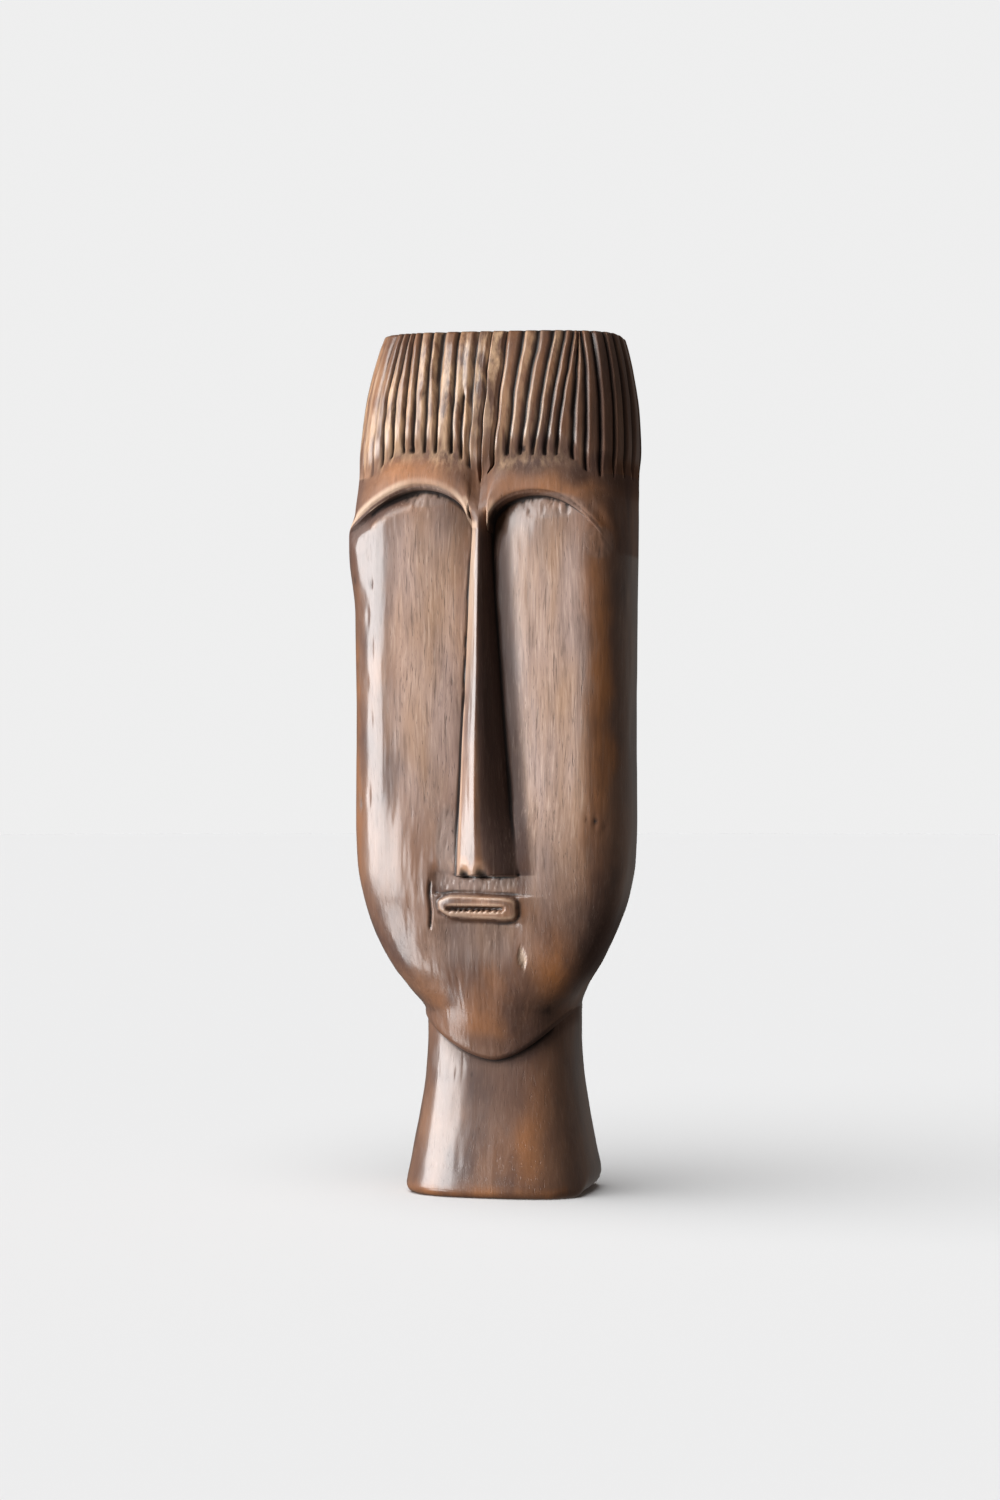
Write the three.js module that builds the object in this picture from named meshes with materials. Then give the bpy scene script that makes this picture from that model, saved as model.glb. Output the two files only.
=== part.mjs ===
// Abstract head carved from one block of wood: a flared neck that stands on its flat underside,
// a long face with a W-shaped brow, a wedge nose, a small block mouth, and hair cut as upright locks.
// Millimetres. +Z is up, the face looks along -Y, and the origin is the centre of the underside.

import * as THREE from 'three';
import { mergeVertices } from 'three/addons/utils/BufferGeometryUtils.js';

// Overall sizes
const HEIGHT = 370;
const HEAD_WIDTH = 122;
const HEAD_FRONT = 46;
const HEAD_BACK = 32;
const NECK_WIDTH = 65;
const NECK_DEPTH = 53;
const BASE_WIDTH = 83;
const BASE_DEPTH = 70;
const BASE_EDGE_RADIUS = 3.5;
const WORN_CORNER_RADIUS = 9;

// Depths of the carving
const SOCKET_DEPTH = 7;
const UNDER_BROW_SCOOP = 2;
const BROW_LIP_RISE = 1.6;
const BROW_BAND_RISE = 1.4;
const BROW_CORNER_FLARE = 2.2;
const BROW_CREASE = 1.2;
const VALLEY_DEPTH = 1.2;
const NOSE_RISE = 8;
const NOSE_ROOT_RISE = 1.2;
const LIP_RISE = 3;
const SLIT_DEPTH = 2.4;
const UPPER_LIP_RECESS = 1.2;
const CHIN_RECESS = 1.4;
const CHIN_RIDGE = 1.2;
const LOCK_RISE = 1;
const GROOVE_DEPTH = 1.7;
const CROWN_EDGE_RADIUS = 1.2;
const CROWN_DOME = 0.7;
const CROWN_TILT = 1.6;
const MOUTH_TILT = 0.8;
const NOSTRIL_DEPTH = 2.4;

// Heights of the landmarks, as shares of the whole height
const CHIN_TIP = 0.158 * HEIGHT;
const JAW_CORNER = 0.211 * HEIGHT;
const CHIN_TOP = 0.305 * HEIGHT;
const LIPS_BOTTOM = 0.32 * HEIGHT;
const LIPS_TOP = 0.352 * HEIGHT;
const SLIT_MIDDLE = 0.3345 * HEIGHT;
const SLIT_HALF = 0.0035 * HEIGHT;
const NOSE_BASE = 0.3715 * HEIGHT;
const NOSE_ROOT = 0.765 * HEIGHT;
const HAIR_SIDE = 0.832 * HEIGHT;
const CROWN = HEIGHT - CROWN_DOME;

// Squareness of the cross-sections: 2 is an ellipse, higher is boxier
const FACE_POWER = 3.4;
const BACK_POWER = 2.5;
const NECK_POWER = 3;

// Head profile from the chin to the crown, as shares of the sizes above. It starts with the neck's size
const JAW_WIDTH = NECK_WIDTH / HEAD_WIDTH;
const JAW_BACK = NECK_DEPTH / 2 / HEAD_BACK;
const HEAD_PROFILE = [
  { at: 0.150, width: JAW_WIDTH, middle: 0.00, front: 0.66, back: JAW_BACK },
  { at: 0.211, width: JAW_WIDTH, middle: 0.00, front: 0.76, back: JAW_BACK },
  { at: 0.239, width: 0.612, middle: -0.32, front: 0.81, back: 0.87 },
  { at: 0.262, width: 0.710, middle: -0.40, front: 0.85, back: 0.90 },
  { at: 0.287, width: 0.797, middle: -0.41, front: 0.88, back: 0.92 },
  { at: 0.311, width: 0.864, middle: -0.40, front: 0.91, back: 0.94 },
  { at: 0.347, width: 0.938, middle: -0.37, front: 0.94, back: 0.96 },
  { at: 0.384, width: 0.977, middle: -0.36, front: 0.95, back: 0.97 },
  { at: 0.432, width: 0.988, middle: -0.35, front: 0.96, back: 0.98 },
  { at: 0.540, width: 0.983, middle: -0.35, front: 0.98, back: 1.00 },
  { at: 0.676, width: 0.990, middle: -0.36, front: 1.00, back: 1.00 },
  { at: 0.770, width: 0.998, middle: -0.36, front: 1.00, back: 1.00 },
  { at: 0.825, width: 0.984, middle: -0.22, front: 0.97, back: 1.00 },
  { at: 0.865, width: 0.975, middle: -0.12, front: 0.91, back: 1.00 },
  { at: 0.908, width: 0.956, middle: -0.07, front: 0.83, back: 0.99 },
  { at: 0.932, width: 0.936, middle: -0.05, front: 0.78, back: 0.98 },
  { at: 0.957, width: 0.907, middle: -0.03, front: 0.71, back: 0.96 },
  { at: 0.981, width: 0.871, middle: -0.02, front: 0.64, back: 0.93 },
  { at: 1.000, width: 0.842, middle: -0.01, front: 0.58, back: 0.90 },
];

// Neck flare from the waist down to the base: 0 keeps the neck's size, 1 has the base's size
const NECK_FLARE = [
  { at: 0.000, flare: 1.00 },
  { at: 0.048, flare: 0.72 },
  { at: 0.095, flare: 0.36 },
  { at: 0.140, flare: 0.10 },
  { at: 0.185, flare: 0.00 },
];

// Brow arches: where each starts at the nose, its highest point and its outer end, with heights as
// shares of the whole height and distances as shares of half the head's width
const LEFT_ARCH = { apex: -0.46, apexHeight: 0.816, end: -1.05, endHeight: 0.757, outerPower: 1.7 };
const RIGHT_ARCH = { apex: 0.40, apexHeight: 0.807, end: 0.95, endHeight: 0.735, outerPower: 2.2 };
const ARCH_INNER_POWER = 2.1;

// Edges of the nose and mouth, as shares of half the width at each height
const NOSE_FEET = [
  { at: 0.150, left: -0.36, right: 0.34 },
  { at: 0.300, left: -0.345, right: 0.315 },
  { at: 0.354, left: -0.325, right: 0.295 },
  { at: 0.3690, left: -0.175, right: 0.270 },
  { at: 0.450, left: -0.140, right: 0.205 },
  { at: 0.600, left: -0.098, right: 0.130 },
  { at: 0.765, left: -0.072, right: 0.062 },
  { at: 0.840, left: -0.060, right: 0.050 },
];

// Hair: where the grooves between the front locks stand at the hairline, as shares of half the width
const FRONT_GROOVES = [
  -0.825, -0.745, -0.668, -0.580, -0.503, -0.416, -0.335, -0.221, -0.148, -0.087,
  -0.003, 0.092, 0.192, 0.285, 0.380, 0.460, 0.540, 0.653, 0.748, 0.845,
];
const SIDE_LOCK_ANGLE = 0.22;
const HAIR_LEAN = 0.1;
const HAIR_V_DEPTH = 0.033 * HEIGHT;
const HAIR_V_HALF_WIDTH = 0.21;

// Jaw: the chin's tip stands a little towards +X, and a higher roundness makes the chin broader
const CHIN_OFFSET = 0.07;
const JAW_ROUNDNESS = 1.7;

const half = HEAD_WIDTH / 2;
const clamp01 = (value) => THREE.MathUtils.clamp(value, 0, 1);
const mix = THREE.MathUtils.lerp;

// Smooth ramp that is 0 at one value and 1 at the other, whichever is larger
function fade(zeroAt, oneAt, value) {
  const ramp = THREE.MathUtils.smootherstep(value, Math.min(zeroAt, oneAt), Math.max(zeroAt, oneAt));
  return zeroAt < oneAt ? ramp : 1 - ramp;
}

// Value of one column of a station list at a height, by a smooth curve that never overshoots
function profileValue(stations, key, z) {
  const at = clamp01(z / HEIGHT);
  const last = stations.length - 1;
  if (at <= stations[0].at) return stations[0][key];
  if (at >= stations[last].at) return stations[last][key];
  let i = 0;
  while (stations[i + 1].at < at) i += 1;
  const slope = (k) => {
    const low = stations[Math.max(k - 1, 0)];
    const here = stations[k];
    const high = stations[Math.min(k + 1, last)];
    const below = k > 0 ? (here[key] - low[key]) / (here.at - low.at) : 0;
    const above = k < last ? (high[key] - here[key]) / (high.at - here.at) : 0;
    return below * above > 0 ? (2 * below * above) / (below + above) : 0;
  };
  const span = stations[i + 1].at - stations[i].at;
  const s = (at - stations[i].at) / span;
  const start = stations[i][key];
  const end = stations[i + 1][key];
  const curve = (2 * s ** 3 - 3 * s ** 2 + 1) * start + (3 * s ** 2 - 2 * s ** 3) * end;
  return curve + (s ** 3 - 2 * s ** 2 + s) * span * slope(i) + (s ** 3 - s ** 2) * span * slope(i + 1);
}

// Cross-section of the head or of the neck at a height
function headSection(z) {
  return {
    halfWidth: half * profileValue(HEAD_PROFILE, 'width', z),
    middle: HEAD_FRONT * profileValue(HEAD_PROFILE, 'middle', z),
    front: HEAD_FRONT * profileValue(HEAD_PROFILE, 'front', z),
    back: HEAD_BACK * profileValue(HEAD_PROFILE, 'back', z),
    frontPower: mix(NECK_POWER, FACE_POWER, fade(JAW_CORNER, CHIN_TOP, z)),
    backPower: mix(NECK_POWER, BACK_POWER, fade(JAW_CORNER, CHIN_TOP, z)),
  };
}

function neckSection(z) {
  const flare = profileValue(NECK_FLARE, 'flare', z);
  const depth = mix(NECK_DEPTH, BASE_DEPTH, flare) / 2;
  const width = mix(NECK_WIDTH, BASE_WIDTH, flare) / 2;
  const power = NECK_POWER;
  return { halfWidth: width, middle: 0, front: depth, back: depth, frontPower: power, backPower: power };
}

// Angle round a section: 0 is the front, a quarter turn is +X, half a turn is the back
function angleAt(section, share) {
  return Math.sign(share) * Math.asin(clamp01(Math.abs(share)) ** (section.frontPower / 2));
}

function shareAt(section, angle) {
  const power = Math.cos(angle) >= 0 ? section.frontPower : section.backPower;
  return Math.sign(Math.sin(angle)) * Math.abs(Math.sin(angle)) ** (2 / power);
}

// Point of a section at an angle, moved outwards by a relief
function surfacePoint(section, angle, z, relief = 0) {
  const isFront = Math.cos(angle) >= 0;
  const power = isFront ? section.frontPower : section.backPower;
  const depth = isFront ? section.front + section.middle : section.back - section.middle;
  const across = shareAt(section, angle);
  const along = (isFront ? -1 : 1) * Math.abs(Math.cos(angle)) ** (2 / power);
  const normal = new THREE.Vector2(
    (Math.sign(across) * Math.abs(across) ** (power - 1)) / section.halfWidth,
    (Math.sign(along) * Math.abs(along) ** (power - 1)) / depth,
  ).normalize();
  const x = section.halfWidth * across + normal.x * relief;
  const y = section.middle + depth * along + normal.y * relief;
  return new THREE.Vector3(x, y, z);
}

// Shares of the way from the nose's base to the brow: the nose's lower front edge
const NOSE_EDGE_RISE = 0.005;

// Columns of the head: every ring below the hair uses the same ones, so edges run from ring to ring
const OUTER_ANGLES = [0.84, 0.98, 1.12, 1.30, Math.PI / 2, 1.85, 2.15, 2.5, 2.85];
const RIM_SHARE = 0.775;
const SOCKET_STEPS = [0, 0.07, 0.22, 0.4, 0.58, 0.75, 0.87, 0.94, 0.98];
const NOSE_STEPS = [0, 0.09, 0.155, 0.22, 0.36, 0.45, 0.54, 0.72, 0.88, 1];
const MOUTH_STEPS = [0, 0.04, 0.12, 0.24, 0.36, 0.5, 0.65, 0.8, 0.96, 1];
const columns = [
  { part: 'outer', angle: -Math.PI },
  ...OUTER_ANGLES.toReversed().map((angle) => ({ part: 'outer', angle: -angle })),
  ...SOCKET_STEPS.map((step) => ({ part: 'socket', side: 'left', step })),
  ...NOSE_STEPS.map((step, index) => ({ part: 'nose', index })),
  ...SOCKET_STEPS.toReversed().map((step) => ({ part: 'socket', side: 'right', step })),
  ...OUTER_ANGLES.map((angle) => ({ part: 'outer', angle })),
];

// Step of a nose column: the spacing changes to the mouth's below the nose
function noseStep(column, z) {
  return mix(MOUTH_STEPS[column.index], NOSE_STEPS[column.index], fade(LIPS_TOP, NOSE_BASE, z));
}

function columnShare(column, z) {
  const left = profileValue(NOSE_FEET, 'left', z);
  const right = profileValue(NOSE_FEET, 'right', z);
  if (column.part === 'nose') return mix(left, right, noseStep(column, z));
  return column.side === 'left' ? mix(-RIM_SHARE, left, column.step) : mix(RIM_SHARE, right, column.step);
}

function columnAngle(column, section, z) {
  return column.part === 'outer' ? column.angle : angleAt(section, columnShare(column, z));
}

// Height of the brow's lower edge at a share of the half width
function browHeight(share) {
  const left = profileValue(NOSE_FEET, 'left', NOSE_ROOT);
  const right = profileValue(NOSE_FEET, 'right', NOSE_ROOT);
  if (share >= left && share <= right) return NOSE_ROOT;
  const arch = share < 0 ? LEFT_ARCH : RIGHT_ARCH;
  const foot = share < 0 ? left : right;
  const apex = arch.apexHeight * HEIGHT;
  const inner = Math.abs(share) < Math.abs(arch.apex);
  if (inner) {
    const run = clamp01((arch.apex - share) / (arch.apex - foot));
    return NOSE_ROOT + (apex - NOSE_ROOT) * (1 - run ** ARCH_INNER_POWER) ** (1 / ARCH_INNER_POWER);
  }
  const run = clamp01((share - arch.apex) / (arch.end - arch.apex));
  return apex - (apex - arch.endHeight * HEIGHT) * run ** arch.outerPower;
}

// Height of the hairline: two shallow arches with a V between them, lower at the temples
function hairHeight(share, angle) {
  const top = mix(0.862, 0.856, clamp01(share + 0.5)) * HEIGHT;
  const vee = HAIR_V_DEPTH * clamp01(1 - Math.abs(share) / HAIR_V_HALF_WIDTH) ** 1.4;
  const temple = share < 0 ? fade(0.55, 0.95, -share) : fade(0.56, 0.86, share);
  return Math.abs(angle) > Math.PI / 2 ? HAIR_SIDE : mix(top - vee, HAIR_SIDE, temple);
}

// Height of the jaw's lower edge: lowest at the chin, level at the sides and the back
function jawHeight(section, angle) {
  if (Math.abs(angle) >= Math.PI / 2) return JAW_CORNER;
  const offset = shareAt(section, angle) - CHIN_OFFSET;
  const reach = offset < 0 ? 1 + CHIN_OFFSET : 1 - CHIN_OFFSET;
  return mix(CHIN_TIP, JAW_CORNER, Math.abs(offset / reach) ** JAW_ROUNDNESS);
}

// Relief of the face between the nose's base and the brow
function socketFloor(step, rise) {
  const across = 0.2 * fade(0, 0.15, step) + 0.8 * step;
  const along = fade(-0.02, 0.3, rise);
  return -(SOCKET_DEPTH * along + UNDER_BROW_SCOOP * fade(0.86, 1, rise)) * across;
}

// Height across the nose from foot to foot: a wedge with its ridge towards -X, rounder at the root
const NOSE_WEDGE = [0, 0.66, 0.8, 0.9, 1, 0.96, 0.88, 0.58, 0.25, 0];
const NOSE_ROOT_SHAPE = [0, 0.93, 0.97, 0.99, 1, 1, 0.99, 0.98, 0.93, 0];
const NOSTRIL_COLUMNS = [2, 5];

function noseShape(column, rise) {
  return mix(NOSE_WEDGE[column.index], NOSE_ROOT_SHAPE[column.index], fade(0.6, 1, rise));
}

// Swelling of the cheek's upper corner at -X, where the brow ends
function cornerSwelling(angle, z) {
  const height = fade(NOSE_ROOT - 20, NOSE_ROOT - 7, z) * fade(NOSE_ROOT + 9, NOSE_ROOT - 1, z);
  return BROW_CORNER_FLARE * height * fade(0.7, 1.15, -angle) * fade(2.2, 1.5, -angle);
}

function faceRelief(column, z, rise) {
  if (column.part === 'outer') return cornerSwelling(column.angle, z);
  if (column.part === 'socket') return socketFloor(column.step, rise);
  const floor = socketFloor(1, rise);
  const ridge = mix(NOSE_RISE, NOSE_ROOT_RISE, rise ** 0.8);
  const isNostril = rise === NOSE_EDGE_RISE && NOSTRIL_COLUMNS.includes(column.index);
  return mix(floor, ridge, noseShape(column, rise)) - (isNostril ? NOSTRIL_DEPTH : 0);
}

// One ring of the head: a height and a relief for each column
function headRing(heightOf, reliefOf) {
  return columns.map((column) => {
    const z = heightOf(column);
    const section = headSection(z);
    const angle = columnAngle(column, section, z);
    return { angle, point: surfacePoint(section, angle, z, reliefOf(column, z, section)) };
  });
}

function shareOf(column, z) {
  return column.part === 'outer' ? shareAt(headSection(z), column.angle) : columnShare(column, z);
}

function browHeightOf(column) {
  const share = shareOf(column, NOSE_ROOT);
  if (column.part === 'nose') return NOSE_ROOT;
  return browHeight(share);
}

function hairHeightOf(column) {
  return hairHeight(shareOf(column, HAIR_SIDE), column.angle);
}

function socketRings() {
  const rises = [
    NOSE_EDGE_RISE, 0.02, 0.05, 0.1, 0.16, 0.23, 0.31, 0.4, 0.49, 0.58, 0.67, 0.75, 0.82, 0.88, 0.925,
    0.96, 0.985,
  ];
  return rises.map((rise) => headRing(
    (column) => mix(NOSE_BASE, browHeightOf(column), rise),
    (column, z) => faceRelief(column, z, rise),
  ));
}

// Brow: the lip over the sockets, the rounded band above it and the valley under the hair
function browRelief(share, angle, rise) {
  const front = 1 - fade(0.9, 1.25, Math.abs(angle));
  const lip = BROW_LIP_RISE * (1 - fade(0.05, 0.4, rise)) * (0.55 + 0.45 * fade(0, 0.1, rise));
  const band = BROW_BAND_RISE * fade(0.15, 0.45, rise) * fade(0.85, 0.5, rise);
  const valley = -VALLEY_DEPTH * fade(0.55, 0.8, rise) * fade(1, 0.85, rise);
  return front * (lip + band + valley);
}

function browRings() {
  const rises = [0, 0.07, 0.16, 0.3, 0.45, 0.6, 0.75, 0.88, 1];
  return rises.map((rise) => headRing(
    (column) => mix(browHeightOf(column), hairHeightOf(column) - 0.8, rise),
    (column, z, section) => {
      const share = shareOf(column, z);
      const angle = columnAngle(column, section, z);
      const relief = browRelief(share, angle, rise) + cornerSwelling(angle, z);
      const crease = -BROW_CREASE * fade(0.12, 0, Math.abs(share)) * fade(0.15, 0.5, rise);
      const root = column.part === 'nose' ? NOSE_ROOT_RISE * (0.6 + 0.4 * noseShape(column, 1)) : relief;
      return mix(root, relief, fade(0.1, 0.7, rise)) + crease;
    },
  ));
}

// Mouth: a raised block with a slit, a recess above it under the nose and a shallow one below it
function mouthRelief(column, z) {
  const nearMouth = column.part === 'nose' ? 1 : column.part === 'socket' ? fade(0.9, 0.98, column.step) : 0;
  const nearChin = column.part === 'nose' ? 1 : column.part === 'socket' ? fade(0.4, 0.98, column.step) : 0;
  const inBlock = column.part === 'nose' && column.index > 0 && column.index < NOSE_STEPS.length - 1;
  const inSlit = column.part === 'nose' && column.index > 1 && column.index < NOSE_STEPS.length - 2;
  const recess = -UPPER_LIP_RECESS * nearMouth * fade(LIPS_TOP - 1, LIPS_TOP + 1, z);
  const underLips = fade(LIPS_BOTTOM + 2, LIPS_BOTTOM - 2, z) * fade(CHIN_TOP - 14, CHIN_TOP, z);
  const hollow = -CHIN_RECESS * nearChin * underLips;
  const block = inBlock && z > LIPS_BOTTOM && z < LIPS_TOP ? LIP_RISE : 0;
  const slit = inSlit && Math.abs(z - SLIT_MIDDLE) < SLIT_HALF ? -SLIT_DEPTH : 0;
  return recess + hollow + block + slit;
}

function mouthRings() {
  const levels = [
    CHIN_TOP, LIPS_BOTTOM - 2.2, LIPS_BOTTOM - 0.4, LIPS_BOTTOM + 0.6, SLIT_MIDDLE - SLIT_HALF - 0.1,
    SLIT_MIDDLE - 0.4 * SLIT_HALF, SLIT_MIDDLE + 0.4 * SLIT_HALF, SLIT_MIDDLE + SLIT_HALF + 0.1,
    LIPS_TOP - 2, LIPS_TOP - 0.5, LIPS_TOP + 0.5, LIPS_TOP + 3, NOSE_BASE - 0.6,
  ];
  return levels.map((level) => {
    const tilt = MOUTH_TILT * fade(CHIN_TOP, LIPS_BOTTOM, level) * fade(NOSE_BASE, LIPS_TOP, level);
    const ring = headRing(() => level, mouthRelief);
    ring.forEach(({ point }) => {
      point.z -= tilt * (point.x / half);
    });
    return ring;
  });
}

// Chin and jaw: from the mouth down to the drooping lower edge
function chinRelief(column, z, drop) {
  const hollow = mouthRelief(column, z) * (1 - drop);
  const centre = column.part === 'nose' ? Math.sin(Math.PI * noseStep(column, z)) : 0;
  return hollow + CHIN_RIDGE * centre * fade(0.15, 0.7, drop);
}

function jawHeightOf(column) {
  const section = headSection(JAW_CORNER);
  return jawHeight(section, columnAngle(column, section, JAW_CORNER));
}

function chinRings() {
  const lowest = 2.5;
  const drops = [1, 0.9, 0.78, 0.65, 0.52, 0.4, 0.28, 0.18, 0.08];
  return drops.map((drop) => headRing(
    (column) => mix(CHIN_TOP, jawHeightOf(column) + lowest, drop),
    (column, z) => chinRelief(column, z, drop),
  ));
}

// Under the jaw: rings that turn in from the head's surface to the neck's. Where the two surfaces are
// far apart the jaw's edge curls under, and where they meet the rings only step upwards
function underJawRings() {
  const turns = [
    { inset: 1, curl: 0.6, plain: 0 },
    { inset: 0.55, curl: 0, plain: 0.6 },
    { inset: 0.15, curl: 0.9, plain: 1.4 },
  ];
  return turns.map(({ inset, curl, plain }) => columns.map((column) => {
    const jaw = jawHeightOf(column);
    const section = headSection(jaw);
    const angle = columnAngle(column, section, jaw);
    const outer = surfacePoint(section, angle, jaw, chinRelief(column, jaw, 1));
    const inner = surfacePoint(neckSection(jaw), angle, jaw);
    const overhang = fade(0.5, 3, outer.distanceTo(inner));
    const point = outer.lerp(inner, inset);
    point.z += mix(plain, curl, overhang);
    return { angle, point };
  }));
}

// Neck and base, from the flat underside up to the jaw
function neckRing(heightOf, insetOf = () => 0) {
  return columns.map((column) => {
    const section = headSection(JAW_CORNER);
    const angle = columnAngle(column, section, JAW_CORNER);
    const z = heightOf(column, angle);
    return { angle, point: surfacePoint(neckSection(z), angle, z, -insetOf(angle)) };
  });
}

// Radius of the base's lower edge: even all round but for one worn corner at +X
function edgeRadius(angle) {
  const worn = fade(0.9, 1.5, angle) * fade(2.5, 1.9, angle);
  return mix(BASE_EDGE_RADIUS, WORN_CORNER_RADIUS, worn);
}

function neckRings() {
  const edgeSteps = 3;
  const rings = [];
  for (let i = 0; i <= edgeSteps; i += 1) {
    const turn = (i / edgeSteps) * (Math.PI / 2);
    const heightOf = (column, angle) => edgeRadius(angle) * (1 - Math.cos(turn));
    rings.push(neckRing(heightOf, (angle) => edgeRadius(angle) * (1 - Math.sin(turn))));
  }
  const waist = 0.11 * HEIGHT;
  for (const z of [10, 18, 26, 33]) rings.push(neckRing(() => z));
  for (const rise of [0, 0.2, 0.4, 0.6, 0.8, 0.93]) {
    rings.push(neckRing((column) => mix(waist, jawHeightOf(column), rise)));
  }
  return rings;
}

// Hair: locks with a groove at each side, all round the head. A front groove keeps its share of the
// width, a groove on the sides or the back keeps its angle
function grooves() {
  const section = headSection(HAIR_SIDE);
  const front = FRONT_GROOVES.map((share) => ({ share, angle: angleAt(section, share) }));
  const right = front[front.length - 1].angle;
  const left = front[0].angle + 2 * Math.PI;
  const count = Math.round((left - right) / SIDE_LOCK_ANGLE);
  const sides = [];
  for (let i = 1; i < count; i += 1) {
    const angle = mix(right, left, i / count);
    sides.push({ angle: angle > Math.PI ? angle - 2 * Math.PI : angle });
  }
  return [...front, ...sides].sort((a, b) => a.angle - b.angle);
}

// Points across a lock, from the groove at its left: a share of its width and of its height
const FRONT_LOCK = [
  { step: 0, height: 0 },
  { step: 0.17, height: 0.8 },
  { step: 0.5, height: 1 },
  { step: 0.83, height: 0.8 },
];
const SIDE_LOCK = [
  { step: 0, height: 0 },
  { step: 0.22, height: 0.9 },
  { step: 0.78, height: 0.9 },
];

function hairColumns() {
  const all = grooves();
  return all.flatMap((groove, i) => {
    const wraps = i + 1 === all.length;
    const next = all[(i + 1) % all.length];
    const nextAngle = wraps ? next.angle + 2 * Math.PI : next.angle;
    const isFront = groove.share !== undefined && next.share !== undefined;
    return (isFront ? FRONT_LOCK : SIDE_LOCK).map(({ step, height }) => ({
      height,
      share: isFront ? mix(groove.share, next.share, step) : undefined,
      angle: mix(groove.angle, nextAngle, step),
      groove: i + Math.round(step),
    }));
  });
}

// Angle of a hair column at a height: the front locks stand upright and lean a little towards +X
function hairAngle(lock, section, rise) {
  if (lock.share === undefined) return lock.angle;
  const { share } = lock;
  const end = FRONT_GROOVES[FRONT_GROOVES.length - 1];
  const narrowing = headSection(HAIR_SIDE).halfWidth / section.halfWidth - 1;
  const upright = share * narrowing * fade(end, end / 2, Math.abs(share));
  const lean = HAIR_LEAN * rise * clamp01((share + 0.2) / 0.65) * clamp01((end - share) / 0.35);
  return angleAt(section, share + upright + lean);
}

function hairRing(locks, heightOf, reliefOf) {
  return locks.map((lock) => {
    const hairline = hairHeight(shareAt(headSection(HAIR_SIDE), lock.angle), lock.angle);
    const wander = 0.9 * Math.sin(2.4 * lock.groove) + 0.6 * Math.sin(5.1 * lock.groove);
    const z = heightOf(hairline, wander);
    const section = headSection(z);
    const angle = hairAngle(lock, section, clamp01((z - hairline) / (CROWN - hairline)));
    return { angle, point: surfacePoint(section, angle, z, reliefOf(lock)) };
  });
}

// Height of the crown's edge, which is sawn a little higher at -X
function crownHeight(share) {
  return CROWN - CROWN_TILT * (1 + share) / 2;
}

function hairRings() {
  const locks = hairColumns();
  const cut = (lock, depth) => -GROOVE_DEPTH * (1 - lock.height) * depth;
  const edge = CROWN - CROWN_EDGE_RADIUS;
  const rings = [
    hairRing(locks, (line) => line, (lock) => 0.15 * LOCK_RISE + cut(lock, 0.1)),
    hairRing(locks, (line, wander) => line + 2.6 + wander, (lock) => 0.7 * LOCK_RISE + cut(lock, 0.9)),
  ];
  for (const rise of [0.16, 0.32, 0.48, 0.63, 0.77, 0.89]) {
    rings.push(hairRing(locks, (line) => mix(line, edge, rise), (lock) => LOCK_RISE + cut(lock, 1)));
  }
  const turns = [{ lift: 0, inset: 0 }, { lift: 0.7, inset: 0.3 }, { lift: 1, inset: 1 }];
  for (const { lift, inset } of turns) {
    const height = edge + CROWN_EDGE_RADIUS * lift;
    const reliefOf = (lock) => LOCK_RISE + cut(lock, 1) - CROWN_EDGE_RADIUS * inset;
    const ring = hairRing(locks, () => height, reliefOf);
    ring.forEach(({ point }) => {
      point.z -= CROWN - crownHeight(point.x / half);
    });
    rings.push(ring);
  }
  return rings;
}

// Crown: a slightly domed top, closed in rings towards its middle
function crownRings() {
  const section = headSection(CROWN);
  return [0.8, 0.45].map((share) => columns.map((column) => {
    const angle = columnAngle(column, section, CROWN);
    const edge = surfacePoint(section, angle, CROWN);
    const z = crownHeight(edge.x * share / half) + CROWN_DOME * (1 - share ** 2);
    return { angle, point: new THREE.Vector3(edge.x * share, edge.y * share, z) };
  }));
}

// Triangles between two closed rings: point to point where they match, by angle where they don't
function zip(lower, upper, triangles) {
  if (lower.length === upper.length) {
    lower.forEach(({ point }, i) => {
      const next = (i + 1) % lower.length;
      triangles.push(point, lower[next].point, upper[next].point, point, upper[next].point, upper[i].point);
    });
    return;
  }
  const keyOf = (ring, index) => ring[index % ring.length].angle + (index >= ring.length ? 2 * Math.PI : 0);
  let i = 0;
  let j = 0;
  while (i < lower.length || j < upper.length) {
    const stepLower = j >= upper.length || (i < lower.length && keyOf(lower, i + 1) <= keyOf(upper, j + 1));
    const a = lower[i % lower.length].point;
    const b = upper[j % upper.length].point;
    if (stepLower) {
      triangles.push(a, lower[(i + 1) % lower.length].point, b);
      i += 1;
    } else {
      triangles.push(a, upper[(j + 1) % upper.length].point, b);
      j += 1;
    }
  }
}

function closeEnd(ring, centre, triangles, facesUp) {
  ring.forEach(({ point }, i) => {
    const next = ring[(i + 1) % ring.length].point;
    triangles.push(...(facesUp ? [point, next, centre] : [next, point, centre]));
  });
}

function headGeometry() {
  const rings = [
    ...neckRings(), ...underJawRings(), ...chinRings(), ...mouthRings(), ...socketRings(), ...browRings(),
    ...hairRings(), ...crownRings(),
  ];
  const triangles = [];
  closeEnd(rings[0], new THREE.Vector3(0, 0, 0), triangles, false);
  for (let i = 0; i + 1 < rings.length; i += 1) zip(rings[i], rings[i + 1], triangles);
  closeEnd(rings[rings.length - 1], new THREE.Vector3(0, 0, HEIGHT), triangles, true);
  const geometry = mergeVertices(new THREE.BufferGeometry().setFromPoints(triangles), 1e-5);
  geometry.computeVertexNormals();
  return geometry;
}

const wood = new THREE.MeshStandardMaterial({ color: 0x8f6446, roughness: 0.38, metalness: 0 });
const head = new THREE.Mesh(headGeometry(), wood);
head.name = 'carved_head';

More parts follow.
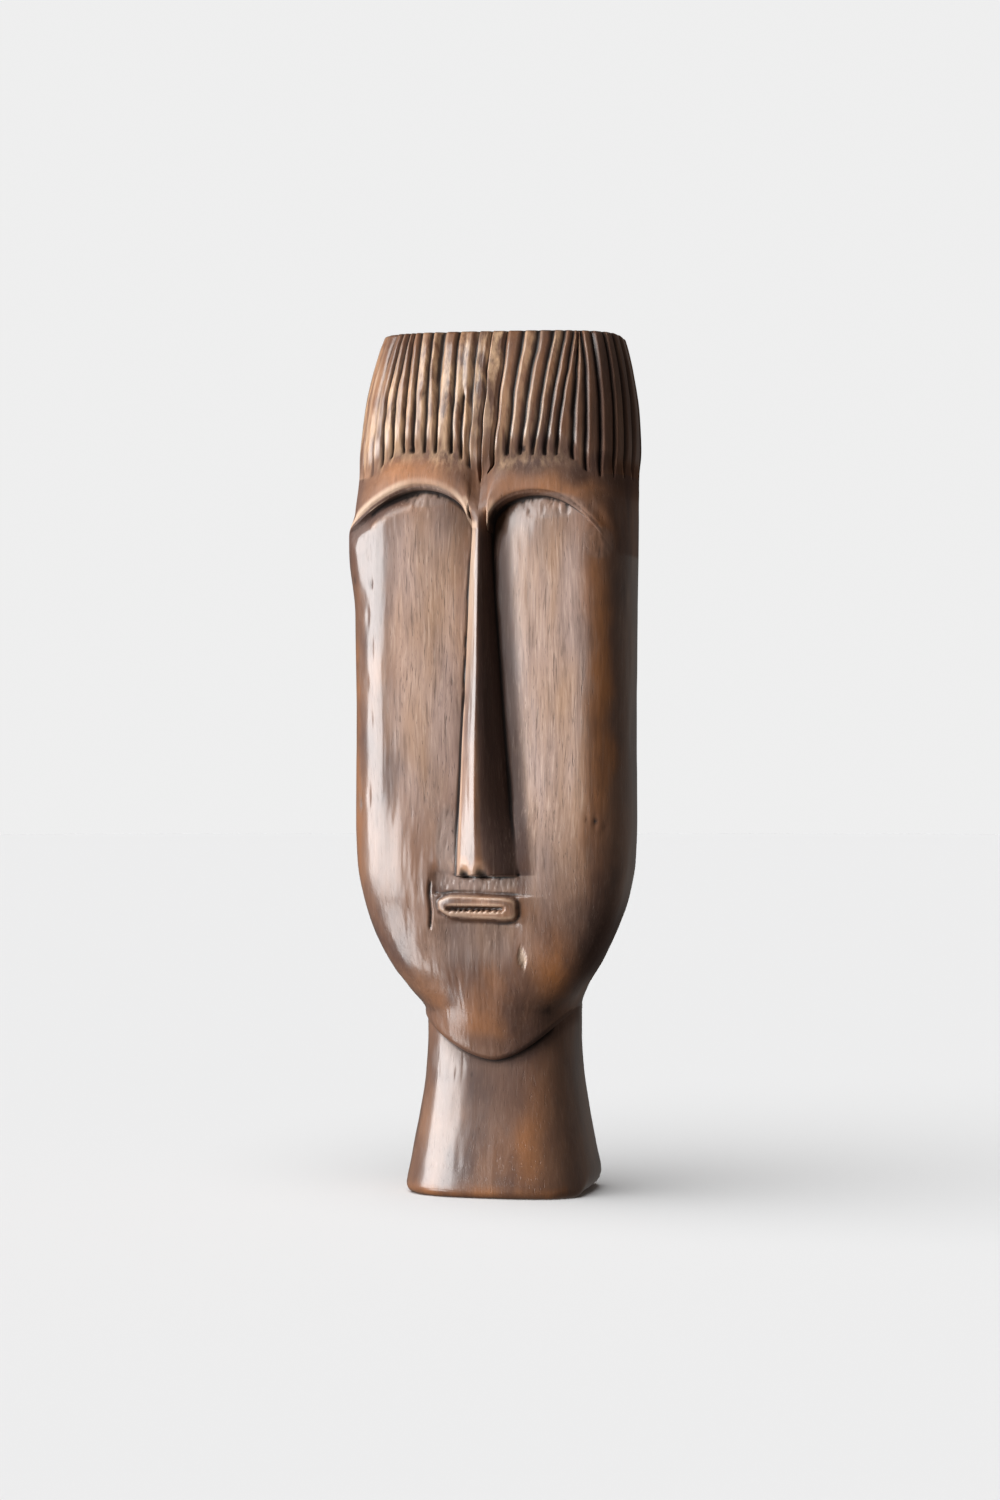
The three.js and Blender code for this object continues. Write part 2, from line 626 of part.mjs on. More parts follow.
const sculpture = new THREE.Group();
sculpture.add(head);

export default sculpture;
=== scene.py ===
"""Abstract head carved from one block of wood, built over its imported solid.

The form is worked out in millimetres and written to the mesh in metres. +Z is up, the face looks along -Y,
and the origin is the centre of the underside. Left and right are as seen from the front: left is -X.
"""

import logging
import math
from dataclasses import dataclass, field
from enum import Enum
from typing import Any

import bpy
import numpy as np
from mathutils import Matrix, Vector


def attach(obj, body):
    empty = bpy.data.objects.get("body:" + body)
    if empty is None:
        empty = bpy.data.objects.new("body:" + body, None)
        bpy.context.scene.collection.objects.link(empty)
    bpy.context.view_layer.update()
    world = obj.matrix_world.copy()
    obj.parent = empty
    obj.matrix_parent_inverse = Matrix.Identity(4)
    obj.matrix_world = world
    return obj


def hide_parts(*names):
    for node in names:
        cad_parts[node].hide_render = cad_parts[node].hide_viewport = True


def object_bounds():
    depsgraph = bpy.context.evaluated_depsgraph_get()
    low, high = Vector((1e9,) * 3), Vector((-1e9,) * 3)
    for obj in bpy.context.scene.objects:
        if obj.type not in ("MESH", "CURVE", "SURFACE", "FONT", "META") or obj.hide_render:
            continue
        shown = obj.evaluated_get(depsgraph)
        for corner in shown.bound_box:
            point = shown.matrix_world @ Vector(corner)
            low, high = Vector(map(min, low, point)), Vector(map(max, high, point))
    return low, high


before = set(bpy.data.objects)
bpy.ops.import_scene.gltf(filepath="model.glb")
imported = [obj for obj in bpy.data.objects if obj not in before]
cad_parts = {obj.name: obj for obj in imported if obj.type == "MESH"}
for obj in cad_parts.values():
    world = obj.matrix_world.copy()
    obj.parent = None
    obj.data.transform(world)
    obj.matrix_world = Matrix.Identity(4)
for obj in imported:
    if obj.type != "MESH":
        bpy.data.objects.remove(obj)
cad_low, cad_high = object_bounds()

log = logging.getLogger("carved_head")

Field = np.ndarray
Colour = tuple[float, float, float]

MM = 0.001
HALF_TURN = math.pi
QUARTER_TURN = math.pi / 2


def ramp(zero_at: Any, one_at: Any, value: Any) -> Field:
    """Smooth ramp that is 0 at one value and 1 at the other, whichever is larger.

    Args:
        zero_at: Value where the ramp is 0.
        one_at: Value where the ramp is 1.
        value: Values to read the ramp at.

    Returns:
        The ramp, from 0 to 1.
    """
    t = np.clip((value - zero_at) / (one_at - zero_at), 0.0, 1.0)
    return t * t * t * (t * (t * 6.0 - 15.0) + 10.0)


def mix(start: Any, end: Any, share: Any) -> Any:
    """Straight mix of two values.

    Args:
        start: Value at share 0.
        end: Value at share 1.
        share: Share of the way from start to end.

    Returns:
        The mixed value.
    """
    return start + (end - start) * share


@dataclass(frozen=True)
class Curve:
    """Smooth curve through stations that never overshoots them."""

    at: tuple[float, ...]
    value: tuple[float, ...]

    def __call__(self, where: Any) -> Field:
        """Value of the curve.

        Args:
            where: Places along the curve.

        Returns:
            The curve's value at each place.
        """
        at = np.asarray(self.at)
        value = np.asarray(self.value)
        secant = np.diff(value) / np.diff(at)
        product = secant[:-1] * secant[1:]
        total = secant[:-1] + secant[1:]
        slope = np.zeros_like(value)
        slope[1:-1] = np.where(product > 0, 2 * product / np.where(total == 0, 1, total), 0)
        place = np.clip(where, at[0], at[-1])
        i = np.clip(np.searchsorted(at, place) - 1, 0, len(at) - 2)
        span = at[i + 1] - at[i]
        s = (place - at[i]) / span
        ends = (2 * s**3 - 3 * s**2 + 1) * value[i] + (3 * s**2 - 2 * s**3) * value[i + 1]
        return ends + (s**3 - 2 * s**2 + s) * span * slope[i] + (s**3 - s**2) * span * slope[i + 1]


@dataclass(frozen=True)
class Figure:
    """Smooth random field in three directions, fixed by its seed."""

    seed: int

    def _corner(self, i: Field, j: Field, k: Field) -> Field:
        """Random number at a lattice corner.

        Args:
            i: Whole-number place across.
            j: Whole-number place along.
            k: Whole-number place up.

        Returns:
            A number from -1 to 1 for each corner.
        """
        mask = np.uint64(0xFFFFFFFF)
        mixed = i * np.int64(374761393) + j * np.int64(668265263) + k * np.int64(1442695041)
        h = (mixed + np.int64(self.seed) * np.int64(1274126177)).astype(np.uint64) & mask
        h = ((h ^ (h >> np.uint64(13))) * np.uint64(1274126177)) & mask
        h = ((h ^ (h >> np.uint64(15))) * np.uint64(2246822519)) & mask
        return (h ^ (h >> np.uint64(16))).astype(float) / float(0xFFFFFFFF) * 2 - 1

    def __call__(self, x: Any, y: Any, z: Any) -> Field:
        """Value of the field.

        Args:
            x: Places across, in cells.
            y: Places along, in cells.
            z: Places up, in cells.

        Returns:
            A smooth number from -1 to 1 at each place.
        """
        x, y, z = np.broadcast_arrays(x, y, z)
        cells = [np.floor(v).astype(np.int64) for v in (x, y, z)]
        part = [v - c for v, c in zip((x, y, z), cells)]
        u, v, w = (t * t * (3 - 2 * t) for t in part)
        total = np.zeros(x.shape)
        for corner in range(8):
            a, b, c = corner & 1, corner >> 1 & 1, corner >> 2 & 1
            weight = (u if a else 1 - u) * (v if b else 1 - v) * (w if c else 1 - w)
            total += weight * self._corner(cells[0] + a, cells[1] + b, cells[2] + c)
        return total


@dataclass(frozen=True)
class Section:
    """Cross-sections at a set of heights: two half superellipses that meet at the sides."""

    half_width: Field
    middle: Field
    front: Field
    back: Field
    front_power: Field
    back_power: Field

    def angle_at(self, share: Field) -> Field:
        """Angle round the section at a share of its half width, on its front."""
        return np.sign(share) * np.arcsin(np.clip(np.abs(share), 0, 1) ** (self.front_power / 2))

    def share_at(self, angle: Field) -> Field:
        """Share of the half width at an angle."""
        power = np.where(np.cos(angle) >= 0, self.front_power, self.back_power)
        return np.sign(np.sin(angle)) * np.abs(np.sin(angle)) ** (2 / power)

    def point(self, angle: Field, relief: Field) -> tuple[Field, Field]:
        """Point of the section, moved outwards by a relief.

        Args:
            angle: Angle round the section, 0 at the front and a quarter turn at +X.
            relief: Distance outwards along the section's normal.

        Returns:
            The point's x and y.
        """
        front = np.cos(angle) >= 0
        power = np.where(front, self.front_power, self.back_power)
        depth = np.where(front, self.front + self.middle, self.back - self.middle)
        across = self.share_at(angle)
        along = np.where(front, -1, 1) * np.abs(np.cos(angle)) ** (2 / power)
        nx = np.sign(across) * np.abs(across) ** (power - 1) / self.half_width
        ny = np.sign(along) * np.abs(along) ** (power - 1) / depth
        length = np.hypot(nx, ny)
        x = self.half_width * across + nx / length * relief
        y = self.middle + depth * along + ny / length * relief
        return x, y


@dataclass(frozen=True)
class Arch:
    """One brow arch: its highest point and its outer end, across in shares of the half width."""

    apex: float
    apex_height: float
    end: float
    end_height: float
    outer_power: float


@dataclass(frozen=True)
class Block:
    """The sculpture's driving sizes and its plain form: the head, the neck and the flared base."""

    height: float = 370.0
    head_width: float = 122.0
    head_front: float = 46.0
    head_back: float = 32.0
    neck_width: float = 65.0
    neck_depth: float = 53.0
    base_width: float = 83.0
    base_depth: float = 70.0
    base_edge_radius: float = 3.5
    worn_corner_radius: float = 9.0
    crown_edge_radius: float = 1.2
    crown_dome: float = 0.7
    crown_tilt: float = 1.6
    face_power: float = 3.4
    back_power: float = 2.5
    neck_power: float = 3.0
    chin_offset: float = 0.07
    jaw_roundness: float = 1.7
    arch_inner_power: float = 2.1
    rim_share: float = 0.775
    left_arch: Arch = Arch(-0.46, 0.816, -1.05, 0.757, 1.7)
    right_arch: Arch = Arch(0.40, 0.807, 0.95, 0.735, 2.2)
    stations: tuple[float, ...] = (
        0.150, 0.211, 0.239, 0.262, 0.287, 0.311, 0.347, 0.384, 0.432, 0.540, 0.676, 0.770, 0.825,
        0.865, 0.908, 0.932, 0.957, 0.981, 1.000,
    )
    widths: tuple[float, ...] = (
        65 / 122, 65 / 122, 0.612, 0.710, 0.797, 0.864, 0.938, 0.977, 0.988, 0.983, 0.990, 0.998, 0.984,
        0.975, 0.956, 0.936, 0.907, 0.871, 0.842,
    )
    middles: tuple[float, ...] = (
        0.00, 0.00, -0.32, -0.40, -0.41, -0.40, -0.37, -0.36, -0.35, -0.35, -0.36, -0.36, -0.22,
        -0.12, -0.07, -0.05, -0.03, -0.02, -0.01,
    )
    fronts: tuple[float, ...] = (
        0.66, 0.76, 0.81, 0.85, 0.88, 0.91, 0.94, 0.95, 0.96, 0.98, 1.00, 1.00, 0.97,
        0.91, 0.83, 0.78, 0.71, 0.64, 0.58,
    )
    backs: tuple[float, ...] = (
        53 / 64, 53 / 64, 0.87, 0.90, 0.92, 0.94, 0.96, 0.97, 0.98, 1.00, 1.00, 1.00, 1.00,
        1.00, 0.99, 0.98, 0.96, 0.93, 0.90,
    )
    flare: Curve = Curve((0.000, 0.048, 0.095, 0.140, 0.185), (1.00, 0.72, 0.36, 0.10, 0.00))

    @property
    def half(self) -> float:
        """Half of the head's width."""
        return self.head_width / 2

    @property
    def chin_tip(self) -> float:
        """Height of the chin's lowest point."""
        return 0.158 * self.height

    @property
    def jaw_corner(self) -> float:
        """Height where the jaw meets the neck at the sides and the back."""
        return 0.211 * self.height

    @property
    def chin_top(self) -> float:
        """Height where the chin begins, under the mouth."""
        return 0.305 * self.height

    @property
    def nose_base(self) -> float:
        """Height of the nose's lower end."""
        return 0.3715 * self.height

    @property
    def nose_root(self) -> float:
        """Height where the nose runs into the brow."""
        return 0.765 * self.height

    @property
    def hair_side(self) -> float:
        """Height of the hairline at the sides and the back."""
        return 0.832 * self.height

    @property
    def crown(self) -> float:
        """Height of the crown's edge."""
        return self.height - self.crown_dome

    def head(self, z: Field) -> Section:
        """Cross-sections of the head at some heights.

        Args:
            z: Heights.

        Returns:
            The cross-sections.
        """
        at = np.clip(z / self.height, 0, 1)
        round_off = ramp(self.jaw_corner, self.chin_top, z)
        return Section(
            half_width=self.half * Curve(self.stations, self.widths)(at),
            middle=self.head_front * Curve(self.stations, self.middles)(at),
            front=self.head_front * Curve(self.stations, self.fronts)(at),
            back=self.head_back * Curve(self.stations, self.backs)(at),
            front_power=mix(self.neck_power, self.face_power, round_off),
            back_power=mix(self.neck_power, self.back_power, round_off),
        )

    def neck(self, z: Field) -> Section:
        """Cross-sections of the neck and the base at some heights.

        Args:
            z: Heights.

        Returns:
            The cross-sections.
        """
        flare = self.flare(np.clip(z / self.height, 0, 1))
        depth = mix(self.neck_depth, self.base_depth, flare) / 2
        power = np.full_like(depth, self.neck_power)
        width = mix(self.neck_width, self.base_width, flare) / 2
        return Section(width, np.zeros_like(depth), depth, depth, power, power)

    def brow_height(self, share: Field, nose_left: float, nose_right: float) -> Field:
        """Height of the brow's lower edge.

        Args:
            share: Shares of the half width.
            nose_left: Share of the nose root's left edge.
            nose_right: Share of the nose root's right edge.

        Returns:
            The height at each share.
        """
        result = np.full(share.shape, self.nose_root)
        for arch, foot, side in ((self.left_arch, nose_left, -1), (self.right_arch, nose_right, 1)):
            apex = arch.apex_height * self.height
            run_in = np.clip((arch.apex - share) / (arch.apex - foot), 0, 1)
            power = self.arch_inner_power
            inner = self.nose_root + (apex - self.nose_root) * (1 - run_in**power) ** (1 / power)
            run_out = np.clip((share - arch.apex) / (arch.end - arch.apex), 0, 1)
            outer = apex - (apex - arch.end_height * self.height) * run_out**arch.outer_power
            there = share < nose_left if side < 0 else share > nose_right
            result = np.where(there, np.where(np.abs(share) < abs(arch.apex), inner, outer), result)
        return result

    def hair_height(self, share: Field, angle: Field) -> Field:
        """Height of the hairline: two shallow arches with a V between them, lower at the temples.

        Args:
            share: Shares of the half width.
            angle: Angles round the head.

        Returns:
            The height at each share.
        """
        top = mix(0.862, 0.856, np.clip(share + 0.5, 0, 1)) * self.height
        vee = 0.033 * self.height * np.clip(1 - np.abs(share) / 0.21, 0, 1) ** 1.4
        temple = np.where(share < 0, ramp(0.55, 0.95, -share), ramp(0.56, 0.86, share))
        return np.where(np.abs(angle) > QUARTER_TURN, self.hair_side, mix(top - vee, self.hair_side, temple))

    def jaw_height(self, section: Section, angle: Field) -> Field:
        """Height of the jaw's lower edge: lowest at the chin, level at the sides and the back.

        Args:
            section: Cross-section at each place.
            angle: Angles round the head.

        Returns:
            The height at each angle.
        """
        offset = section.share_at(angle) - self.chin_offset
        reach = np.where(offset < 0, 1 + self.chin_offset, 1 - self.chin_offset)
        front = mix(self.chin_tip, self.jaw_corner, np.abs(offset / reach) ** self.jaw_roundness)
        return np.where(np.abs(angle) >= QUARTER_TURN, self.jaw_corner, front)

    def crown_height(self, x: Field) -> Field:
        """Height of the crown's edge, which is sawn a little higher at -X."""
        return self.crown - self.crown_tilt * (1 + x / self.half) / 2

    def edge_radius(self, angle: Field) -> Field:
        """Radius of the base's lower edge: even all round but for one worn corner at +X."""
        worn = ramp(0.9, 1.5, angle) * ramp(2.5, 1.9, angle)
        return mix(self.base_edge_radius, self.worn_corner_radius, worn)


class Part(Enum):
    """Part of the head that a column of the mesh runs through below the hair."""

    SIDE = 0
    RIM = 1
    LEFT_SOCKET = 2
    NOSE = 3
    RIGHT_SOCKET = 4


@dataclass(frozen=True)
class Locks:
    """The hair's grooves: where they stand, how deep they are cut and where each one ends."""

    front: tuple[float, ...] = (
        -0.825, -0.745, -0.668, -0.580, -0.503, -0.416, -0.335, -0.221, -0.148, -0.087,
        -0.003, 0.092, 0.192, 0.285, 0.380, 0.460, 0.540, 0.653, 0.748, 0.845,
    )
    side_angle: float = 0.22
    rise: float = 1.0
    depth: float = 2.2
    steep_side: float = 0.7
    gentle_side: float = 1.8
    tilt: float = 0.9
    lean: float = 0.1
    short_groove: int = 8
    short_groove_top: float = 343.0
    wide_groove: int = 6
    seed: int = 11

    def angles(self, section: Section) -> Field:
        """Angles of all grooves from the first front one round by +X and the back to it again.

        Args:
            section: The head's cross-section at the hairline.

        Returns:
            One angle for each groove, rising, and the first groove's again a full turn on.
        """
        front = np.array([float(section.angle_at(np.array(share))) for share in self.front])
        count = round((front[0] + 2 * HALF_TURN - front[-1]) / self.side_angle)
        sides = mix(front[-1], front[0] + 2 * HALF_TURN, np.arange(1, count + 1) / count)
        return np.concatenate([front, sides])

    def share_of(self, lock: Field, narrowing: Field, rise: Field, z: Field) -> Field:
        """Share of the half width of the front locks' lines, which stand upright and lean at the top.

        Args:
            lock: Place among the locks: a whole number at each groove.
            narrowing: How much the head has narrowed since the hairline.
            rise: Share of the way from the hairline to the crown.
            z: Heights.

        Returns:
            The share of the half width.
        """
        end = self.front[-1]
        numbers = np.arange(len(self.front))
        share = np.interp(lock, numbers, self.front)
        upright = share * narrowing * ramp(end, end / 2, np.abs(share))
        lean = self.lean * rise * ramp(-0.25, 0.5, share) * ramp(end, end - 0.45, share)
        slow, quick = Figure(self.seed), Figure(self.seed + 1)
        sway = slow(lock * 0.9, 0.0, z / 11) * 0.006 + quick(lock * 1.3, 0.0, z / 4.5) * 0.0025
        return share + upright + lean + sway * ramp(end, end - 0.12, np.abs(share))

    def relief(self, lock: Field, width: Field, above: Field, z: Field) -> Field:
        """Relief of the hair over the brow's valley.

        Args:
            lock: Place among the locks: a whole number at each groove.
            width: Width of the lock at each place, in millimetres.
            above: Height over the hairline.
            z: Heights.

        Returns:
            The relief, with the grooves cut into it.
        """
        number = np.floor(lock + 1e-6)
        across = np.clip(lock - number, 0, 1)
        body = self.rise * ramp(-3.5, 12, above)
        hump = self.tilt * mix(0.25, 1, ramp(4, 12, number)) * across**1.25 * ramp(-4, 10, above)
        cut = np.zeros(np.broadcast_shapes(lock.shape, z.shape))
        for groove, distance, reach in (
            (number, across * width, self.steep_side),
            (number + 1, (1 - across) * width, self.gentle_side),
        ):
            cut = np.maximum(cut, self._cut(groove, distance, reach, above, z))
        return body - hump - cut

    def _cut(self, groove: Field, distance: Field, reach: float, above: Field, z: Field) -> Field:
        """Depth of one side of the grooves.

        Args:
            groove: Number of the groove nearest on that side.
            distance: Distance from it, in millimetres.
            reach: Width of the groove on that side.
            above: Height over the hairline.
            z: Heights.

        Returns:
            The depth cut away.
        """
        own = Figure(self.seed + 2)(groove * 3.7, 0.5, 0.5)
        wander = 0.7 * np.sin(2.4 * groove) + 0.5 * np.sin(5.1 * groove)
        started = ramp(wander - 8.5, wander - 3.5, above)
        hand = 1 + 0.16 * Figure(self.seed + 3)(groove * 5.3, 0.0, z / 9) + 0.16 * own
        short = (groove == self.short_groove) * ramp(self.short_groove_top - 4, self.short_groove_top, z)
        wide = (groove == self.wide_groove) * ramp(325, 358, z)
        depth = self.depth * hand * started * (1 - short) * (1 + 0.25 * wide)
        reach = reach * (1 + 0.2 * own) * mix(1, 2.1, wide) * mix(0.45, 1, ramp(wander - 7, wander + 4, above))
        return depth * np.clip(1 - distance / reach, 0, 1) ** 1.25


@dataclass(frozen=True)
class Spot:
    """A small place on the front that is cut, pitted or rubbed differently."""

    x: float
    z: float
    wide: float
    tall: float
    amount: float = 1.0
    power: float = 2.0

    def weight(self, x: Field, z: Field) -> Field:
        """How much of the spot there is at each place: a higher power makes its edge crisper."""
        across = np.abs((x - self.x) / self.wide) ** self.power
        return self.amount * np.exp(-across - np.abs((z - self.z) / self.tall) ** self.power)

    def flat(self, x: Field, z: Field) -> Field:
        """Like weight, but level over the spot and falling off only near its edge."""
        away = np.hypot((x - self.x) / self.wide, (z - self.z) / self.tall)
        return self.amount * ramp(1.0, 0.7, away)


@dataclass(frozen=True)
class Carving:
    """Depths of the carving on the face, and its relief."""

    block: Block
    socket_depth: float = 7.0
    under_brow_scoop: float = 2.0
    brow_corner_flare: float = 2.2
    brow_crease: float = 1.2
    nose_rise: float = 8.0
    nose_root_rise: float = 1.2
    lip_rise: float = 3.0
    lip_droop: float = 0.6
    lip_trench: float = 0.25
    slit_depth: float = 2.9
    upper_lip_recess: float = 1.2
    chin_recess: float = 1.4
    chin_ridge: float = 1.2
    mouth_tilt: float = 0.8
    nostril_depth: float = 3.2
    mouth_middle: float = -1.3
    mouth_half_width: float = 17.4
    mouth_height: float = 123.9
    mouth_half_height: float = 5.2
    slit_middle: float = -2.0
    slit_half_width: float = 13.2
    slit_height: float = 123.3
    slit_half_height: float = 1.05
    nose_left: Curve = Curve(
        (0.150, 0.3690, 0.450, 0.510, 0.615, 0.690, 0.765, 0.840),
        (-0.178, -0.178, -0.172, -0.158, -0.120, -0.098, -0.074, -0.060),
    )
    nose_right: Curve = Curve(
        (0.150, 0.3690, 0.450, 0.600, 0.765, 0.840), (0.270, 0.270, 0.205, 0.130, 0.062, 0.050)
    )
    wedge: Curve = Curve(
        (0, 0.045, 0.09, 0.155, 0.22, 0.33, 0.36, 0.42, 0.54, 0.72, 0.88, 1),
        (0, 0.42, 0.66, 0.78, 0.87, 0.985, 1, 0.97, 0.86, 0.57, 0.24, 0),
    )
    root: Curve = Curve((0, 0.09, 0.22, 0.5, 0.78, 0.91, 1), (0, 0.72, 0.93, 1, 0.93, 0.72, 0))
    ridge_place: Curve = Curve((0.0, 0.3, 0.7, 1.0), (0.40, 0.42, 0.48, 0.54))
    brow_roll: Curve = Curve(
        (0, 0.05, 0.12, 0.3, 0.48, 0.66, 0.84, 1.0), (0.75, 1.4, 1.65, 1.6, 1.2, 0.35, -0.35, -0.5)
    )

    def floor(self, step: Field, rise: Field) -> Field:
        """Relief of a socket: it slopes from the rim down to the nose.

        Args:
            step: Share of the way from the rim to the nose.
            rise: Share of the way from the nose's base to the brow.

        Returns:
            The relief, 0 or less.
        """
        across = 0.1 * ramp(0, 0.3, step) + 0.9 * (0.55 * step + 0.45 * step**2)
        along = ramp(-0.02, 0.3, rise)
        return -(self.socket_depth * along + self.under_brow_scoop * ramp(0.86, 1, rise)) * across

    def corner(self, angle: Field, z: Field) -> Field:
        """Swelling of the cheek's upper corner at -X, where the brow ends.

        Args:
            angle: Angles round the head.
            z: Heights.

        Returns:
            The relief.
        """
        root = self.block.nose_root
        height = ramp(root - 38, root - 5, z) * ramp(root + 10, root - 2, z)
        return self.brow_corner_flare * height * ramp(0.7, 1.15, -angle) * ramp(2.2, 1.5, -angle)

    def nose(self, across: Field, rise: Field) -> Field:
        """Relief of the nose.

        Args:
            across: Share of the way from its left foot to its right foot.
            rise: Share of the way from its base to the brow.

        Returns:
            The relief.
        """
        up = np.clip(rise, 0, 1)
        ridge = mix(self.nose_rise, self.nose_root_rise, up**0.8)
        crest = self.ridge_place(up)
        left = 0.36 * across / crest
        right = 0.36 + 0.64 * (across - crest) / (1 - crest)
        wedge = self.wedge(np.where(across < crest, left, right))
        shape = mix(wedge, self.root(across), 0.45 * ramp(0.75, 1, rise))
        return mix(self.floor(np.ones_like(rise), rise), ridge, shape)

    def brow(self, share: Field, angle: Field, rise: Field, across: Field, is_nose: Field) -> Field:
        """Relief of the lip over the sockets, the rounded band above it and the valley under the hair.

        Args:
            share: Shares of the half width.
            angle: Angles round the head.
            rise: Share of the way from the brow's lower edge to the hairline.
            across: Share of the way across the nose, where is_nose is true.
            is_nose: True in the nose's columns.

        Returns:
            The relief.
        """
        merged = 1 - ramp(0.7, 0.9, share) * ramp(0.45, 0.1, rise)
        relief = self.brow_roll(rise) * (1 - ramp(0.9, 1.25, np.abs(angle))) * merged
        crease = -self.brow_crease * ramp(0.12, 0, np.abs(share)) * ramp(0.3, 0.65, rise) * ramp(1.3, 0.9, rise)
        crease = crease * (np.abs(angle) < QUARTER_TURN)
        root = np.where(is_nose, self.nose(across, np.ones_like(rise)), relief)
        return mix(root, relief, ramp(-0.02, 0.36, rise)) + crease

    def mouth(self, x: Field, z: Field) -> Field:
        """Relief round the mouth: hollows over and under it, the block of the lips and its slit.

        Args:
            x: Places across.
            z: Heights.

        Returns:
            The relief.
        """
        block = self.block
        near = ramp(-24, -19, x) * ramp(32, 13, x)
        middle = self.mouth_height
        wide = ramp(mix(24, 29, ramp(middle - 5, middle - 16, z)), 9, np.abs(x + 1))
        above = ramp(middle + 4, middle + 6, z) * ramp(block.nose_base + 5, block.nose_base - 1, z)
        under = ramp(middle - 4, middle - 8, z) * ramp(block.chin_top - 16, block.chin_top, z)
        hollow = -self.upper_lip_recess * near * above - self.chin_recess * wide * under
        across = (x - self.mouth_middle) / self.mouth_half_width
        narrow = mix(1, 0.62, ramp(-0.55, -1.05, across))
        up = (z - middle + self.lip_droop * across) / (self.mouth_half_height * narrow)
        body = np.abs(across) ** 7 + np.abs(up) ** 4
        lips = self.lip_rise * np.clip(1 - body, 0, 1) ** 0.34
        past_end, past_edge = np.clip(np.abs(across) - 0.9, 0, 9) * 18, (np.abs(up) - 1) * 5
        trench = self.lip_trench * ramp(3.0, 0.5, np.hypot(past_end, past_edge))
        return hollow + lips - self.slit_depth * self.slit(x, z) - trench * (body > 0.98)

    def slit(self, x: Field, z: Field) -> Field:
        """Opening of the mouth's slit, whose lower edge is notched.

        Args:
            x: Places across.
            z: Heights.

        Returns:
            1 in the slit and 0 outside it.
        """
        teeth = np.sin(x * 2.5 + 0.9 * np.sin(x * 0.7)) * ramp(1.5, -1.5, z - self.slit_height)
        gap = self.slit_height + 0.3 * teeth + 0.02 * x
        open_x = np.clip(1 - ((x - self.slit_middle) / self.slit_half_width) ** 6, 0, 1)
        open_z = np.clip(1 - np.abs((z - gap) / self.slit_half_height) ** 3, 0, 1) ** 0.6
        return open_x * open_z

    def chin(self, x: Field, z: Field, drop: Field) -> Field:
        """Relief of the chin: the hollow under the mouth fades out and a soft ridge starts."""
        centre = np.clip(np.cos(x / 21 * QUARTER_TURN), 0, 1) ** 1.5 * (np.abs(x) < 21)
        return self.mouth(x, z) * (1 - drop) + self.chin_ridge * centre * ramp(0.15, 0.7, drop)


